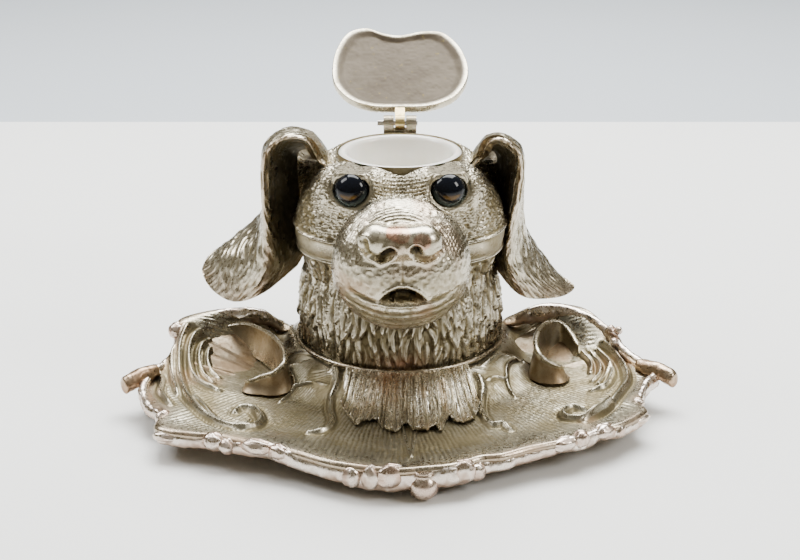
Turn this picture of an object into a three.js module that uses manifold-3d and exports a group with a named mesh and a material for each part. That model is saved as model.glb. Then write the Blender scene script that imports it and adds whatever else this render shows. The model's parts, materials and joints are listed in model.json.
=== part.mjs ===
// A silver-plated inkwell: a hound's head with glass eyes, bolted to a rococo tray on three ball feet.
// The head is a hollow casting that holds a lift-out porcelain ink pot under a hinged lid.
// Millimetres, +Z up, the hound looks along -Y. Every group is drawn about the head's upright axis, and
// the whole is then moved so that the frame's origin is on the table under its middle.
import * as THREE from "three";
import { mergeVertices } from "three/addons/utils/BufferGeometryUtils.js";
import Module from "manifold-3d";

const wasm = await Module();
wasm.setup();

// Driving dimensions.
const TRAY_TURN = THREE.MathUtils.degToRad(4.5);
const TRAY_HALF_WIDTH = 93;
const TRAY_WALL = 2.6;
const FIELD_LEVEL = 9.6;
const RIM_LEVEL = 12.4;
const PLINTH_LEVEL = 16;
const PLINTH_RADIUS = 37;
const CREST_PLACE = new THREE.Vector2(54, -21.5);
const CREST_RADII = new THREE.Vector2(12.5, 18.5);
const CREST_FOOT = 7.6;
const CREST_LEVEL = 20;
const TRAY_CENTRE = new THREE.Vector2(0, -30);
const FOOT_RADIUS = 4.6;
const HEAD_TOP = 83.6;
const WELL_LEDGE = 81.1;
const HEAD_CENTRE = new THREE.Vector3(0, 0, 50);
const HEAD_WALL = 2.6;
const FIT_GAP = 0.35;
const POT_RIM_RADIUS = 20.7;
const POT_RIM_THICK = 2.2;
const POT_BODY_RADIUS = 18.8;
const POT_MOUTH_RADIUS = 17.6;
const POT_DEPTH = 31;
const WELL_RADIUS = 19.4;
const WELL_BORE_RADIUS = 21.3;
const EYE_RADIUS = 5.5;
const EYE_PLACE = new THREE.Vector3(15.7, -27.6, 78.2);
const EAR_THICK = 2.2;
const HINGE_Y = 26;
const HINGE_Z = 86;
const HINGE_SEAT = 81.4;
const HINGE_PIN_RADIUS = 1;
const HINGE_BORE_RADIUS = 1.08;
const HINGE_KNUCKLE_RADIUS = 2.6;
const TONGUE_WIDTH = 3.4;
const HINGE_SIDE_GAP = 0.5;
const HINGE_EAR_WIDTH = 3.6;
const LID_OPEN = THREE.MathUtils.degToRad(150);
const LID_UNDERSIDE = -1.9;
const LID_WALL = 1.8;
const LID_RISE = 6.2;
const SCREW_RADIUS = 1.7;
const SCREW_CIRCLE = 23;
const SCREW_COUNT = 3;
const BOSS_RADIUS = 4.2;

const silver = { color: 0xb8b0a0, roughness: 0.34, metalness: 1 };
const finishes = {
  silver: new THREE.MeshStandardMaterial(silver),
  wornSilver: new THREE.MeshStandardMaterial({ color: 0xa89a86, roughness: 0.5, metalness: 1 }),
  brass: new THREE.MeshStandardMaterial({ color: 0xa98a4a, roughness: 0.4, metalness: 1 }),
  steel: new THREE.MeshStandardMaterial({ color: 0x6d6a66, roughness: 0.5, metalness: 1 }),
  porcelain: new THREE.MeshStandardMaterial({ color: 0xefebe2, roughness: 0.15, metalness: 0 }),
  glass: new THREE.MeshStandardMaterial({ color: 0x14110d, roughness: 0.05, metalness: 0 }),
  enamel: new THREE.MeshStandardMaterial({ color: 0x5a3410, roughness: 0.3, metalness: 0 }),
};

// A closed three.js geometry as a manifold solid, and back again.
function toSolid(geometry) {
  const bare = geometry.index ? geometry.toNonIndexed() : geometry.clone();
  bare.deleteAttribute("normal");
  bare.deleteAttribute("uv");
  const merged = mergeVertices(bare, 1e-4);
  return new wasm.Manifold(
    new wasm.Mesh({
      numProp: 3,
      vertProperties: new Float32Array(merged.attributes.position.array),
      triVerts: new Uint32Array(merged.index.array),
    }),
  );
}

function toGeometry(solid) {
  const made = solid.getMesh();
  const geometry = new THREE.BufferGeometry();
  geometry.setAttribute("position", new THREE.BufferAttribute(made.vertProperties, 3));
  geometry.setIndex(new THREE.BufferAttribute(made.triVerts, 1));
  geometry.computeVertexNormals();
  return geometry;
}

function namedMesh(name, geometry, finish, position, rotation) {
  const mesh = new THREE.Mesh(geometry, finish);
  mesh.name = name;
  if (position) mesh.position.copy(position);
  if (rotation) mesh.rotation.copy(rotation);
  return mesh;
}

// A turned piece: [radius, height] pairs from the axis round to the axis again, upright along +Z.
function turned(profile, sides = 28) {
  const points = profile.map(([radius, height]) => new THREE.Vector2(radius, height));
  return new THREE.LatheGeometry(points, sides).rotateX(Math.PI / 2);
}

// A cylinder along Z between two heights, centred on (x, y).
function post(radius, low, high, x = 0, y = 0, sides = 28) {
  return new THREE.CylinderGeometry(radius, radius, high - low, sides)
    .rotateX(Math.PI / 2)
    .translate(x, y, (low + high) / 2);
}

function arcPoints(radius, from, to, steps, centreRadius = 0, centreHeight = 0) {
  return Array.from({ length: steps + 1 }, (_, i) => {
    const angle = from + ((to - from) * i) / steps;
    return [centreRadius + radius * Math.cos(angle), centreHeight + radius * Math.sin(angle)];
  });
}

// A closed grid of points: rows run along u, and each row is a closed loop of the same count.
// The first and last rows are capped with a fan.
function loftedLoops(rows) {
  const count = rows[0].length;
  const vertices = rows.flat();
  const faces = [];
  for (let i = 0; i < rows.length - 1; i++)
    for (let j = 0; j < count; j++) {
      const a = i * count + j;
      const b = i * count + ((j + 1) % count);
      faces.push(a, b, b + count, a, b + count, a + count);
    }
  const last = (rows.length - 1) * count;
  for (let j = 1; j < count - 1; j++) {
    faces.push(0, j + 1, j);
    faces.push(last, last + j, last + j + 1);
  }
  const geometry = new THREE.BufferGeometry();
  const array = new Float32Array(vertices.flatMap((p) => [p.x, p.y, p.z]));
  geometry.setAttribute("position", new THREE.BufferAttribute(array, 3));
  geometry.setIndex(faces);
  return geometry;
}

// ---- Tray ----

// Right half of the tray's plan, from the front middle to the back middle; the left half mirrors it.
const trayPlan = [
  [0, -94], [4.5, -93], [9, -89.5], [18, -89], [25, -85], [36, -77.5], [46, -73], [54, -72.5], [61, -67.5],
  [68, -64.5], [78, -58.5], [75, -52], [82, -44.5], [TRAY_HALF_WIDTH, -35], [85, -26.5], [79.5, -17],
  [76.5, -6], [68, 5], [56, 11], [45, 10], [38, 19], [24, 30], [10, 33], [0, 36.5],
];

function trayOutline() {
  const right = trayPlan.map(([x, y]) => new THREE.Vector3(x, y, 0));
  const left = trayPlan.slice(1, -1).reverse().map(([x, y]) => new THREE.Vector3(-x, y, 0));
  return new THREE.CatmullRomCurve3([...right, ...left], true, "centripetal");
}

function easeBetween(low, high, value) {
  return THREE.MathUtils.smoothstep(value, low, high);
}

// Height of the tray's upper face: a low plinth round the neck, a dished field and a raised rim.
// share runs from 0 at the tray's centre to 1 at its edge.
function trayTop(x, y, share) {
  const fromNeck = Math.hypot(x, y);
  const plinthFoot = y < -20 ? 25 : 12;
  const plinth = 1 - easeBetween(PLINTH_RADIUS, PLINTH_RADIUS + plinthFoot, fromNeck);
  const backRise = 7 * easeBetween(-20, 8, y) * easeBetween(40, 62, Math.abs(x));
  const rim = (RIM_LEVEL - FIELD_LEVEL + backRise) * easeBetween(0.78, 0.95, share);
  const tipDrop = -2.5 * easeBetween(82, TRAY_HALF_WIDTH, Math.abs(x));
  return Math.max(FIELD_LEVEL + rim + tipDrop, FIELD_LEVEL + (PLINTH_LEVEL - FIELD_LEVEL) * plinth);
}

function trayPlate() {
  const around = 88;
  const outline = trayOutline().getPoints(around).slice(0, around);
  const shares = [0.05, 0.3, 0.45, 0.6, 0.74, 0.84, 0.93, 1];
  const at = (share, drop) =>
    outline.map((p) => {
      const x = TRAY_CENTRE.x + (p.x - TRAY_CENTRE.x) * share;
      const y = TRAY_CENTRE.y + (p.y - TRAY_CENTRE.y) * share;
      return new THREE.Vector3(x, y, trayTop(x, y, share) - drop);
    });
  const under = shares.map((share) => at(share, TRAY_WALL));
  const top = shares.map((share) => at(share, 0)).reverse();
  return loftedLoops([...under, ...top]);
}

// How far out a place lies, as a share of the way from the tray's centre to its edge.
function shareAt(x, y) {
  const [dx, dy] = [x - TRAY_CENTRE.x, y - TRAY_CENTRE.y];
  const edge = trayOutline().getPoints(400);
  const turnTo = (p) => Math.abs(Math.atan2(dx * (p.y - TRAY_CENTRE.y) - dy * (p.x - TRAY_CENTRE.x),
    dx * (p.x - TRAY_CENTRE.x) + dy * (p.y - TRAY_CENTRE.y)));
  const nearest = edge.reduce((best, p) => (turnTo(p) < turnTo(best) ? p : best));
  return Math.hypot(dx, dy) / Math.hypot(nearest.x - TRAY_CENTRE.x, nearest.y - TRAY_CENTRE.y);
}

// The lowest level of the tray's underside over a disc.
function lowestUnderside(place, radius) {
  const levels = Array.from({ length: 12 }, (_, i) => {
    const x = place.x + radius * Math.cos((i * Math.PI) / 6);
    const y = place.y + radius * Math.sin((i * Math.PI) / 6);
    return trayTop(x, y, Math.min(shareAt(x, y), 1)) - TRAY_WALL;
  });
  return Math.min(...levels);
}

// A raised C-shaped crest beside the head, a wall that sweeps over the back and curls in at the front.
// side is -1 on the left and 1 on the right.
function scrollCrest(side) {
  const steps = 22;
  const wall = (offset) =>
    Array.from({ length: steps + 1 }, (_, i) => {
      const t = i / steps;
      const angle = THREE.MathUtils.degToRad(142 - 275 * t);
      const across = (CREST_RADII.x - 3 * t * t + offset) * Math.cos(angle);
      const along = (CREST_RADII.y - 4 * t * t + offset) * Math.sin(angle);
      return new THREE.Vector2(side * (CREST_PLACE.x - across), CREST_PLACE.y + along);
    });
  const shape = new THREE.Shape([...wall(1.1), ...wall(-1.1).reverse()]);
  const depth = CREST_LEVEL - CREST_FOOT;
  return new THREE.ExtrudeGeometry(shape, { depth, bevelEnabled: false }).translate(0, 0, CREST_FOOT);
}

function screwPlaces() {
  return Array.from({ length: SCREW_COUNT }, (_, i) => {
    const angle = -Math.PI / 2 + (i * 2 * Math.PI) / SCREW_COUNT;
    return new THREE.Vector2(SCREW_CIRCLE * Math.cos(angle), SCREW_CIRCLE * Math.sin(angle));
  });
}

function tray() {
  let solid = toSolid(trayPlate());
  for (const side of [-1, 1]) solid = solid.add(toSolid(scrollCrest(side)));
  for (const place of screwPlaces()) {
    const inTray = place.clone().rotateAround(new THREE.Vector2(), -TRAY_TURN);
    const hole = post(SCREW_RADIUS + FIT_GAP, 0, 30, inTray.x, inTray.y);
    solid = solid.subtract(toSolid(hole));
  }
  return toGeometry(solid);
}

const footPlaces = {
  front_foot: new THREE.Vector2(0, -90.2),
  left_rear_foot: new THREE.Vector2(-63, -1),
  right_rear_foot: new THREE.Vector2(63, -1),
};

// A ball foot with a turned collar, whose stem stops just under the tray; its underside is a small flat.
function ballFoot(stemTop) {
  const low = Math.asin((FOOT_RADIUS - 0.35) / FOOT_RADIUS);
  const ball = arcPoints(FOOT_RADIUS, -low, 1.05, 8, 0, FOOT_RADIUS - 0.35);
  const neck = ball[ball.length - 1][1];
  return turned(
    [[0, 0], ...ball, [3.1, neck + 0.2], [3.1, neck + 0.6], [2.4, neck + 0.8], [2.4, stemTop], [0, stemTop]],
    20,
  );
}

// ---- Head ----

// Signed distance, nearly, from a point to an ellipsoid.
function ellipsoid(point, centre, radii) {
  const [x, y, z] = [point.x - centre[0], point.y - centre[1], point.z - centre[2]];
  const scaled = Math.hypot(x / radii[0], y / radii[1], z / radii[2]);
  const slope = Math.hypot(x / radii[0] ** 2, y / radii[1] ** 2, z / radii[2] ** 2);
  return slope === 0 ? -Math.min(...radii) : (scaled * (scaled - 1)) / slope;
}

function softJoin(a, b, width) {
  const h = Math.max(width - Math.abs(a - b), 0) / width;
  return Math.min(a, b) - (h * h * width) / 4;
}

// The forms of the head, each [centre, radii, blend width].
const headForms = [
  [[0, 4, 62], [34.5, 33, 27], 1],
  [[0, 1, 26], [35, 35.5, 44], 10],
  [[22, -14, 62], [12.5, 14, 16], 8],
  [[-22, -14, 62], [12.5, 14, 16], 8],
  [[14.5, -20, 77.5], [13, 11.8, 11], 6],
  [[-14.5, -20, 77.5], [13, 11.8, 11], 6],
  [[0, -40, 57], [20.3, 21, 18.5], 6],
  [[0, -38, 67.5], [12, 20, 9], 5],
  [[0, -41, 43], [13.5, 15, 6], 4],
  [[0, -57, 69], [10, 6.5, 5.5], 3],
];

// The forms run together, and their top is planed off level where the lid shuts.
function headField(point) {
  const joined = headForms.reduce((soFar, [centre, radii, width], i) => {
    const d = ellipsoid(point, centre, radii);
    return i === 0 ? d : softJoin(soFar, d, width);
  }, 0);
  return -softJoin(-joined, HEAD_TOP - point.z, 5);
}

// The surface where the head's field has a given level: each vertex of a sphere is pushed along its own
// ray from HEAD_CENTRE until it meets that level. The sphere's pole points at the muzzle, and its rings
// crowd towards it.
function headSurface(level, across = 38, down = 28) {
  const sphere = new THREE.SphereGeometry(1, across, down);
  const position = sphere.attributes.position;
  const direction = new THREE.Vector3();
  const probe = new THREE.Vector3();
  for (let i = 0; i < position.count; i++) {
    direction.fromBufferAttribute(position, i).normalize();
    const fromMuzzle = Math.PI * (Math.acos(THREE.MathUtils.clamp(-direction.y, -1, 1)) / Math.PI) ** 1.5;
    direction.y = 0;
    direction.setLength(Math.sin(fromMuzzle)).setY(-Math.cos(fromMuzzle));
    let near = 5;
    let far = 90;
    for (let step = 0; step < 30; step++) {
      const middle = (near + far) / 2;
      probe.copy(HEAD_CENTRE).addScaledVector(direction, middle);
      if (headField(probe) < level) near = middle;
      else far = middle;
    }
    probe.copy(HEAD_CENTRE).addScaledVector(direction, near);
    position.setXYZ(i, probe.x, probe.y, probe.z);
  }
  return toSolid(sphere);
}

// The turn that points an eye forward, a little outward and up. side is -1 on the left and 1 on the right.
function eyeTurn(side) {
  return new THREE.Euler(Math.PI / 2 - 0.33, 0.22 * side, 0, "XYZ");
}

function eyeMatrix(side) {
  const place = EYE_PLACE.clone().multiply(new THREE.Vector3(side, 1, 1));
  const turn = new THREE.Quaternion().setFromEuler(eyeTurn(side));
  return new THREE.Matrix4().compose(place, turn, new THREE.Vector3(1, 1, 1));
}

// The nostrils and the parted lips, each [centre, radii].
const facePits = [
  [[4.7, -62.5, 68.2], [2, 2.4, 1.3]],
  [[-4.7, -62.5, 68.2], [2, 2.4, 1.3]],
  [[0, -57.5, 46], [8, 6, 2.4]],
];

function headCasting() {
  const below = new THREE.BoxGeometry(200, 200, 100).translate(0, 0, PLINTH_LEVEL + FIT_GAP - 50);
  let solid = headSurface(0).subtract(toSolid(below));
  const hollow = headSurface(-HEAD_WALL, 28, 18).add(toSolid(post(30, 0, PLINTH_LEVEL + 1)));
  const well = toSolid(post(WELL_BORE_RADIUS, 60, 100, 0, 0, 40));
  const seat = new THREE.BoxGeometry(13.4, 12, 10).translate(0, HINGE_Y + 1.2, HINGE_SEAT + 5);
  solid = solid.subtract(hollow).subtract(well).subtract(toSolid(seat));
  for (const [place, radii] of facePits)
    solid = solid.subtract(toSolid(new THREE.SphereGeometry(1, 14, 8).scale(...radii).translate(...place)));
  for (const place of screwPlaces()) {
    const boss = toSolid(post(BOSS_RADIUS, PLINTH_LEVEL + FIT_GAP, PLINTH_LEVEL + 12, place.x, place.y));
    const web = toSolid(
      new THREE.BoxGeometry(11, 4, 9)
        .translate(5.5, 0, PLINTH_LEVEL + FIT_GAP + 4.5)
        .rotateZ(Math.atan2(place.y, place.x))
        .translate(place.x, place.y, 0),
    ).intersect(headSurface(-0.6, 28, 18));
    const tapping = toSolid(post(SCREW_RADIUS + 0.2, 0, PLINTH_LEVEL + 9, place.x, place.y, 20));
    solid = solid.add(boss).add(web).subtract(tapping);
  }
  for (const side of [-1, 1]) {
    const socket = post(EYE_RADIUS + FIT_GAP, -4.4, 12, 0, 0, 32).applyMatrix4(eyeMatrix(side));
    const bed = post(EYE_RADIUS + 1.6, -5.6, -1.2, 0, 0, 24).applyMatrix4(eyeMatrix(side));
    const held = toSolid(bed).intersect(headSurface(-0.6, 28, 18)).subtract(well);
    solid = solid.add(held).subtract(toSolid(socket));
  }
  return toGeometry(solid);
}

// The ring soldered in the top of the head, whose ledge carries the pot's rim.
function wellRing() {
  const outer = WELL_BORE_RADIUS - FIT_GAP;
  return turned(
    [[WELL_RADIUS, 74], [outer, 74], [outer, WELL_LEDGE], [WELL_RADIUS, WELL_LEDGE], [WELL_RADIUS, 74]],
    40,
  );
}

function inkPot() {
  const rest = WELL_LEDGE + 0.1;
  const top = rest + POT_RIM_THICK;
  const floor = top - POT_DEPTH;
  const curve = 9;
  const inside = arcPoints(curve, 0, -Math.PI / 2, 6, POT_MOUTH_RADIUS - 1.6 - curve, floor + 2.4 + curve);
  const outside = arcPoints(curve, -Math.PI / 2, 0, 6, POT_BODY_RADIUS - 0.6 - curve, floor + curve);
  return turned(
    [
      [0, floor], ...outside, [POT_BODY_RADIUS, rest], [POT_RIM_RADIUS, rest + 0.2],
      [POT_RIM_RADIUS, top - 0.5], [POT_RIM_RADIUS - 0.8, top],
      [POT_MOUTH_RADIUS + 0.9, top], [POT_MOUTH_RADIUS, top - 1],
      ...inside, [0, floor + 2.4],
    ],
    32,
  );
}

function glassEye() {
  const dome = arcPoints(EYE_RADIUS, 0, Math.PI / 2, 6, 0, 0);
  dome[dome.length - 1][0] = 0;
  return turned([[0, -2.6], [EYE_RADIUS - 0.6, -2.6], ...dome], 22);
}

function irisDisc() {
  return turned([[0, -3.8], [EYE_RADIUS - 0.4, -3.8], [EYE_RADIUS - 0.4, -2.95], [0, -2.95]], 22);
}

// ---- Ears ----

// Each ear is a sheet over a net of points: rows run from the root over the fold and down to the tip,
// and each row runs from the front edge round the back and in to the head, so the upper ear is a hood
// that is open to the front. x is measured outward from the head's middle.
const leftEarNet = [
  [[23, -8, 78], [23, -4, 79], [23, 6, 78], [23, 13, 76], [24, 17, 70]],
  [[27, -9, 82], [27, -5, 87.5], [27, 3, 86], [27.5, 12, 80.5], [26, 19, 73]],
  [[30.5, -15, 90.5], [31, -7, 92], [32, 2, 90], [33.5, 11, 84], [27, 20, 74]],
  [[38, -16, 91.5], [39, -7, 92.5], [39.5, 2, 90], [39.5, 12, 83.5], [29, 21, 72]],
  [[44, -15.5, 85.5], [46, -6, 85], [46.5, 4, 83], [44.5, 14, 80.5], [30, 21.5, 68]],
  [[45, -14, 72], [46, -4, 69.5], [46.5, 7, 66], [44.5, 17, 64], [30, 22, 62]],
  [[44.5, -13.5, 59.5], [48, -3, 58.5], [50, 8, 56.5], [48, 18, 56], [37, 22, 57]],
  [[44, -13.5, 47], [53.5, -8, 46.5], [61.5, 0, 46], [65.5, 7, 44], [64.5, 10, 44.5]],
  [[48, -13, 35], [57.5, -10, 32], [65.5, -3, 33.5], [70, 3, 37.5], [70, 6, 39]],
];
const rightEarNet = [
  [[23, -8, 78], [23, -4, 79], [23, 6, 78], [23, 13, 76], [24, 17, 70]],
  [[27, -9, 83], [27, -5, 87], [27, 3, 85], [27.5, 12, 80], [26, 19, 72]],
  [[29, -15, 90], [29.5, -7, 90.5], [30, 2, 88], [31, 11, 82.5], [27, 20, 74]],
  [[33.5, -16, 91], [34.5, -7, 91], [35, 2, 88], [35, 12, 82], [29, 21, 72]],
  [[39, -15.5, 85.5], [41, -6, 85], [41.5, 4, 82.5], [39, 14, 79.5], [30, 21.5, 68]],
  [[39, -14, 73.5], [42, -4, 71.5], [42, 7, 68], [40, 17, 64], [30, 22, 62]],
  [[37, -14, 61.5], [42, -3, 59], [43.5, 8, 55.5], [42.5, 18, 53], [37, 22, 55]],
  [[36, -14, 49], [43, -9, 46.5], [50, -1, 41.5], [55.5, 6, 37], [54.5, 9, 37.5]],
  [[41, -13, 35], [48.5, -10, 33], [56.5, -5, 32], [62, 2, 32], [62, 5, 33]],
];

function netPoint(net, u, v) {
  const columns = net.map((row) => {
    const points = row.map(([x, y, z]) => new THREE.Vector3(x, y, z));
    return new THREE.CatmullRomCurve3(points).getPoint(v);
  });
  return new THREE.CatmullRomCurve3(columns).getPoint(u);
}

// The sheet gets its thickness inward, towards the head; each loop goes out along the outer face and
// back along the inner one.
function ear(net, side, clearance) {
  const along = 26;
  const across = 10;
  const rows = [];
  for (let i = 0; i <= along; i++) {
    const u = i / along;
    const outer = [];
    const inner = [];
    for (let j = 0; j <= across; j++) {
      const v = j / across;
      const p = netPoint(net, u, v);
      const du = netPoint(net, Math.min(u + 0.01, 1), v).sub(netPoint(net, Math.max(u - 0.01, 0), v));
      const dv = netPoint(net, u, Math.min(v + 0.01, 1)).sub(netPoint(net, u, Math.max(v - 0.01, 0)));
      const inward = new THREE.Vector3().crossVectors(dv, du).normalize();
      outer.push(p);
      inner.push(p.clone().addScaledVector(inward, EAR_THICK));
    }
    rows.push([...outer, ...inner.reverse()]);
  }
  for (const row of rows) for (const p of row) p.x *= side;
  if (side > 0) rows.reverse();
  const made = toSolid(loftedLoops(rows));
  const sheet = made.volume() < 0 ? toSolid(loftedLoops(rows.reverse())) : made;
  return toGeometry(sheet.subtract(clearance));
}

// ---- Hinge and lid ----

function xRod(radius, from, to, sides = 20) {
  return new THREE.CylinderGeometry(radius, radius, to - from, sides)
    .rotateZ(Math.PI / 2)
    .translate((from + to) / 2, 0, 0);
}

// The bracket: a foot plate on the back of the head and two upright ears bored for the pin.
function hingeBracket() {
  const inner = TONGUE_WIDTH / 2 + HINGE_SIDE_GAP;
  const plateTop = -HINGE_KNUCKLE_RADIUS - 0.35;
  const width = 2 * (inner + HINGE_EAR_WIDTH);
  let solid = toSolid(new THREE.BoxGeometry(width, 8.6, 1.3).translate(0, 0.2, plateTop - 0.65));
  for (const side of [-1, 1]) {
    const from = side > 0 ? inner : -inner - HINGE_EAR_WIDTH;
    const cheek = new THREE.BoxGeometry(HINGE_EAR_WIDTH, 5.2, -plateTop + 0.2);
    cheek.translate(from + HINGE_EAR_WIDTH / 2, 0, plateTop / 2 - 0.1);
    solid = solid.add(toSolid(cheek)).add(toSolid(xRod(2.6, from, from + HINGE_EAR_WIDTH)));
  }
  return toGeometry(solid.subtract(toSolid(xRod(HINGE_BORE_RADIUS, -20, 20))));
}

// The pin, whose left end stands out of the bracket.
function hingePin() {
  const half = TONGUE_WIDTH / 2 + HINGE_SIDE_GAP + HINGE_EAR_WIDTH;
  return xRod(HINGE_PIN_RADIUS, -half - 2.2, half + 0.4);
}

// The lid is drawn shut, reaching forward from the hinge line, and is turned open by its group.
// Its plan is a kidney, broad across the skull, with a shallow dip over the brow.
const lidPlan = [
  [0, -6], [10.7, -6.6], [19.3, -11], [24, -19], [24.8, -28], [21.9, -38], [16, -45.5], [8.6, -46.2],
  [0, -44], [-6.4, -45.2], [-12.8, -48], [-19.3, -45.5], [-23.5, -36.5], [-24.8, -26], [-23.5, -17.5],
  [-18.2, -10], [-10.2, -6.4],
];
function lidCover() {
  const outline = new THREE.CatmullRomCurve3(
    lidPlan.map(([x, y]) => new THREE.Vector3(x, y, 0)),
    true,
    "centripetal",
  ).getPoints(48).slice(0, 48).reverse();
  const middle = new THREE.Vector2(0, -26);
  const drawnIn = (p, share, height) => {
    const place = new THREE.Vector2(p.x, p.y).sub(middle).multiplyScalar(share).add(middle);
    return new THREE.Vector3(place.x, place.y, height);
  };
  const ring = (share, height) => outline.map((p) => drawnIn(p, share, height));
  const dome = (share) => LID_UNDERSIDE + LID_WALL + LID_RISE * Math.sqrt(Math.max(0, 1 - share ** 2.2));
  const under = [0.06, 0.5, 0.86].map((share) => ring(share, LID_UNDERSIDE + 1));
  const lip = [ring(0.9, LID_UNDERSIDE), ring(0.99, LID_UNDERSIDE), ring(1, LID_UNDERSIDE + LID_WALL)];
  const top = [0.96, 0.88, 0.76, 0.6, 0.4, 0.2, 0.04].map((share) => ring(share, dome(share)));
  const geometry = loftedLoops([...under, ...lip, ...top]);
  const solid = toSolid(geometry);
  return toGeometry(solid.volume() > 0 ? solid : toSolid(loftedLoops([...under, ...lip, ...top].reverse())));
}

// The brass tongue: a knuckle bored for the pin and a strap that runs to the back of the lid.
function lidTongue() {
  const half = TONGUE_WIDTH / 2;
  const strap = new THREE.BoxGeometry(TONGUE_WIDTH, 6, 2).translate(0, -2.7, -0.9);
  return toGeometry(
    toSolid(xRod(HINGE_KNUCKLE_RADIUS, -half, half))
      .add(toSolid(strap))
      .subtract(toSolid(xRod(HINGE_BORE_RADIUS, -20, 20)))
      .subtract(toSolid(new THREE.BoxGeometry(10, 4, 10).translate(0, -7.7, 0))),
  );
}

// ---- Fasteners ----

// A slotted cheese-head screw, driven up through the tray into a boss in the neck.
function baseScrew(under) {
  const headTop = under - 1.3;
  const shank = toSolid(post(SCREW_RADIUS, headTop - 0.1, PLINTH_LEVEL + 8, 0, 0, 20));
  const slot = toSolid(new THREE.BoxGeometry(8, 0.9, 1).translate(0, 0, headTop - 2));
  return toGeometry(toSolid(post(3.2, headTop - 2.2, headTop, 0, 0, 24)).add(shank).subtract(slot));
}

function baseWasher(under) {
  const [inside, outside] = [SCREW_RADIUS + 0.3, 4];
  const [low, high] = [under - 1.1, under - 0.2];
  return turned([[inside, low], [outside, low], [outside, high], [inside, high], [inside, low]], 24);
}

// ---- Assembly ----

const inkwell = new THREE.Group();

const trayGroup = new THREE.Group();
trayGroup.rotation.z = TRAY_TURN;
trayGroup.add(namedMesh("tray", tray(), finishes.silver));
for (const [name, place] of Object.entries(footPlaces)) {
  const foot = ballFoot(lowestUnderside(place, 2.5) - FIT_GAP);
  trayGroup.add(namedMesh(name, foot, finishes.silver, new THREE.Vector3(place.x, place.y, 0)));
}

const headGroup = new THREE.Group();
headGroup.add(namedMesh("head", headCasting(), finishes.silver));
headGroup.add(namedMesh("well_ring", wellRing(), finishes.silver));
headGroup.add(namedMesh("ink_pot", inkPot(), finishes.porcelain));
const earClearance = headSurface(FIT_GAP);
headGroup.add(namedMesh("left_ear", ear(leftEarNet, -1, earClearance), finishes.silver));
headGroup.add(namedMesh("right_ear", ear(rightEarNet, 1, earClearance), finishes.silver));
for (const [word, side] of [["left", -1], ["right", 1]]) {
  const place = EYE_PLACE.clone().multiply(new THREE.Vector3(side, 1, 1));
  headGroup.add(namedMesh(word + "_eye", glassEye(), finishes.glass, place, eyeTurn(side)));
  headGroup.add(namedMesh(word + "_iris", irisDisc(), finishes.enamel, place, eyeTurn(side)));
}
const underPlinth = PLINTH_LEVEL - TRAY_WALL;
screwPlaces().forEach((place, i) => {
  const at = new THREE.Vector3(place.x, place.y, 0);
  headGroup.add(namedMesh(`base_screw_${i + 1}`, baseScrew(underPlinth), finishes.steel, at));
  headGroup.add(namedMesh(`base_washer_${i + 1}`, baseWasher(underPlinth), finishes.steel, at));
});

const hingeGroup = new THREE.Group();
hingeGroup.position.set(0, HINGE_Y, HINGE_Z);
hingeGroup.add(namedMesh("hinge_bracket", hingeBracket(), finishes.silver));
hingeGroup.add(namedMesh("hinge_pin", hingePin(), finishes.steel));
const lidGroup = new THREE.Group();
lidGroup.rotation.x = -LID_OPEN;
lidGroup.add(namedMesh("lid", lidCover(), finishes.wornSilver));
lidGroup.add(namedMesh("lid_tongue", lidTongue(), finishes.brass));
hingeGroup.add(lidGroup);
headGroup.add(hingeGroup);

inkwell.add(trayGroup, headGroup);
const middle = new THREE.Box3().setFromObject(inkwell, true).getCenter(new THREE.Vector3());
inkwell.position.set(-middle.x, -middle.y, 0);
export default inkwell;
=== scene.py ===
"""A silver-plated inkwell shaped as a hound's head with glass eyes, on a rococo tray.

Lengths are in millimetres about the head's upright axis, with the table at zero, until a mesh is
made: `skin` turns the tray's pieces a little, moves everything to the axis and changes to metres."""
import json
import math
from itertools import product

import bmesh
import bpy
import numpy as np
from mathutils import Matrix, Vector


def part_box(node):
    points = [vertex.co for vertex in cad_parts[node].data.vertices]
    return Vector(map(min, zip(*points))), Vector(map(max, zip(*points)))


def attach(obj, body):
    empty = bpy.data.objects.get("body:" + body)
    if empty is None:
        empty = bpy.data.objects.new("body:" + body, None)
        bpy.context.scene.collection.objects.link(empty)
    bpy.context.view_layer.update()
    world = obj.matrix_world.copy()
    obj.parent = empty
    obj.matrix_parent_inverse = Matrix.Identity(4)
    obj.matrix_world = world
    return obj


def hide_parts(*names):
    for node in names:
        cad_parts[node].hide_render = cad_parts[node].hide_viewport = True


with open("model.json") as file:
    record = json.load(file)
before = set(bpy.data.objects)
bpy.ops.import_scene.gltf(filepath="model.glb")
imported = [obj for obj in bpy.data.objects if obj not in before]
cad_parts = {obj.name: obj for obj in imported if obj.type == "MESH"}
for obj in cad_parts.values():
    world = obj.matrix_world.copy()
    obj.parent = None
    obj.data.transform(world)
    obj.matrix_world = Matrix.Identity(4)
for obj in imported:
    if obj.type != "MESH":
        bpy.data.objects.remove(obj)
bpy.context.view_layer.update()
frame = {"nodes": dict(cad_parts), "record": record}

POT_LOW, POT_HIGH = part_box("ink_pot")
AXIS = np.array([(POT_LOW[0] + POT_HIGH[0]) / 2, (POT_LOW[1] + POT_HIGH[1]) / 2, 0.0])
POT_TOP = POT_HIGH[2] * 1000
HEAD_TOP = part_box("head")[1][2] * 1000
NECK_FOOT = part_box("head")[0][2] * 1000
HINGE = next(j for j in frame["record"]["behaviour"]["joints"] if j["name"] == "lid_hinge")
PIVOT = (np.array(HINGE["pos_m"]) - AXIS) * 1000
LID_OPEN = math.radians(150)
TRAY_TURN = math.radians(4.5)
WELL_BORE = 21.3
EYE = np.array([15.7, -27.6, 78.2])
EYE_RADIUS = 5.5
EYE_TILT = 0.33
EYE_SPLAY = 0.22
# Hollow marks above this are painted near-black, as shade in the deepest recesses.
BLACK_SHADE_FROM = 0.84


# ---- Numbers and noise ----

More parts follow.
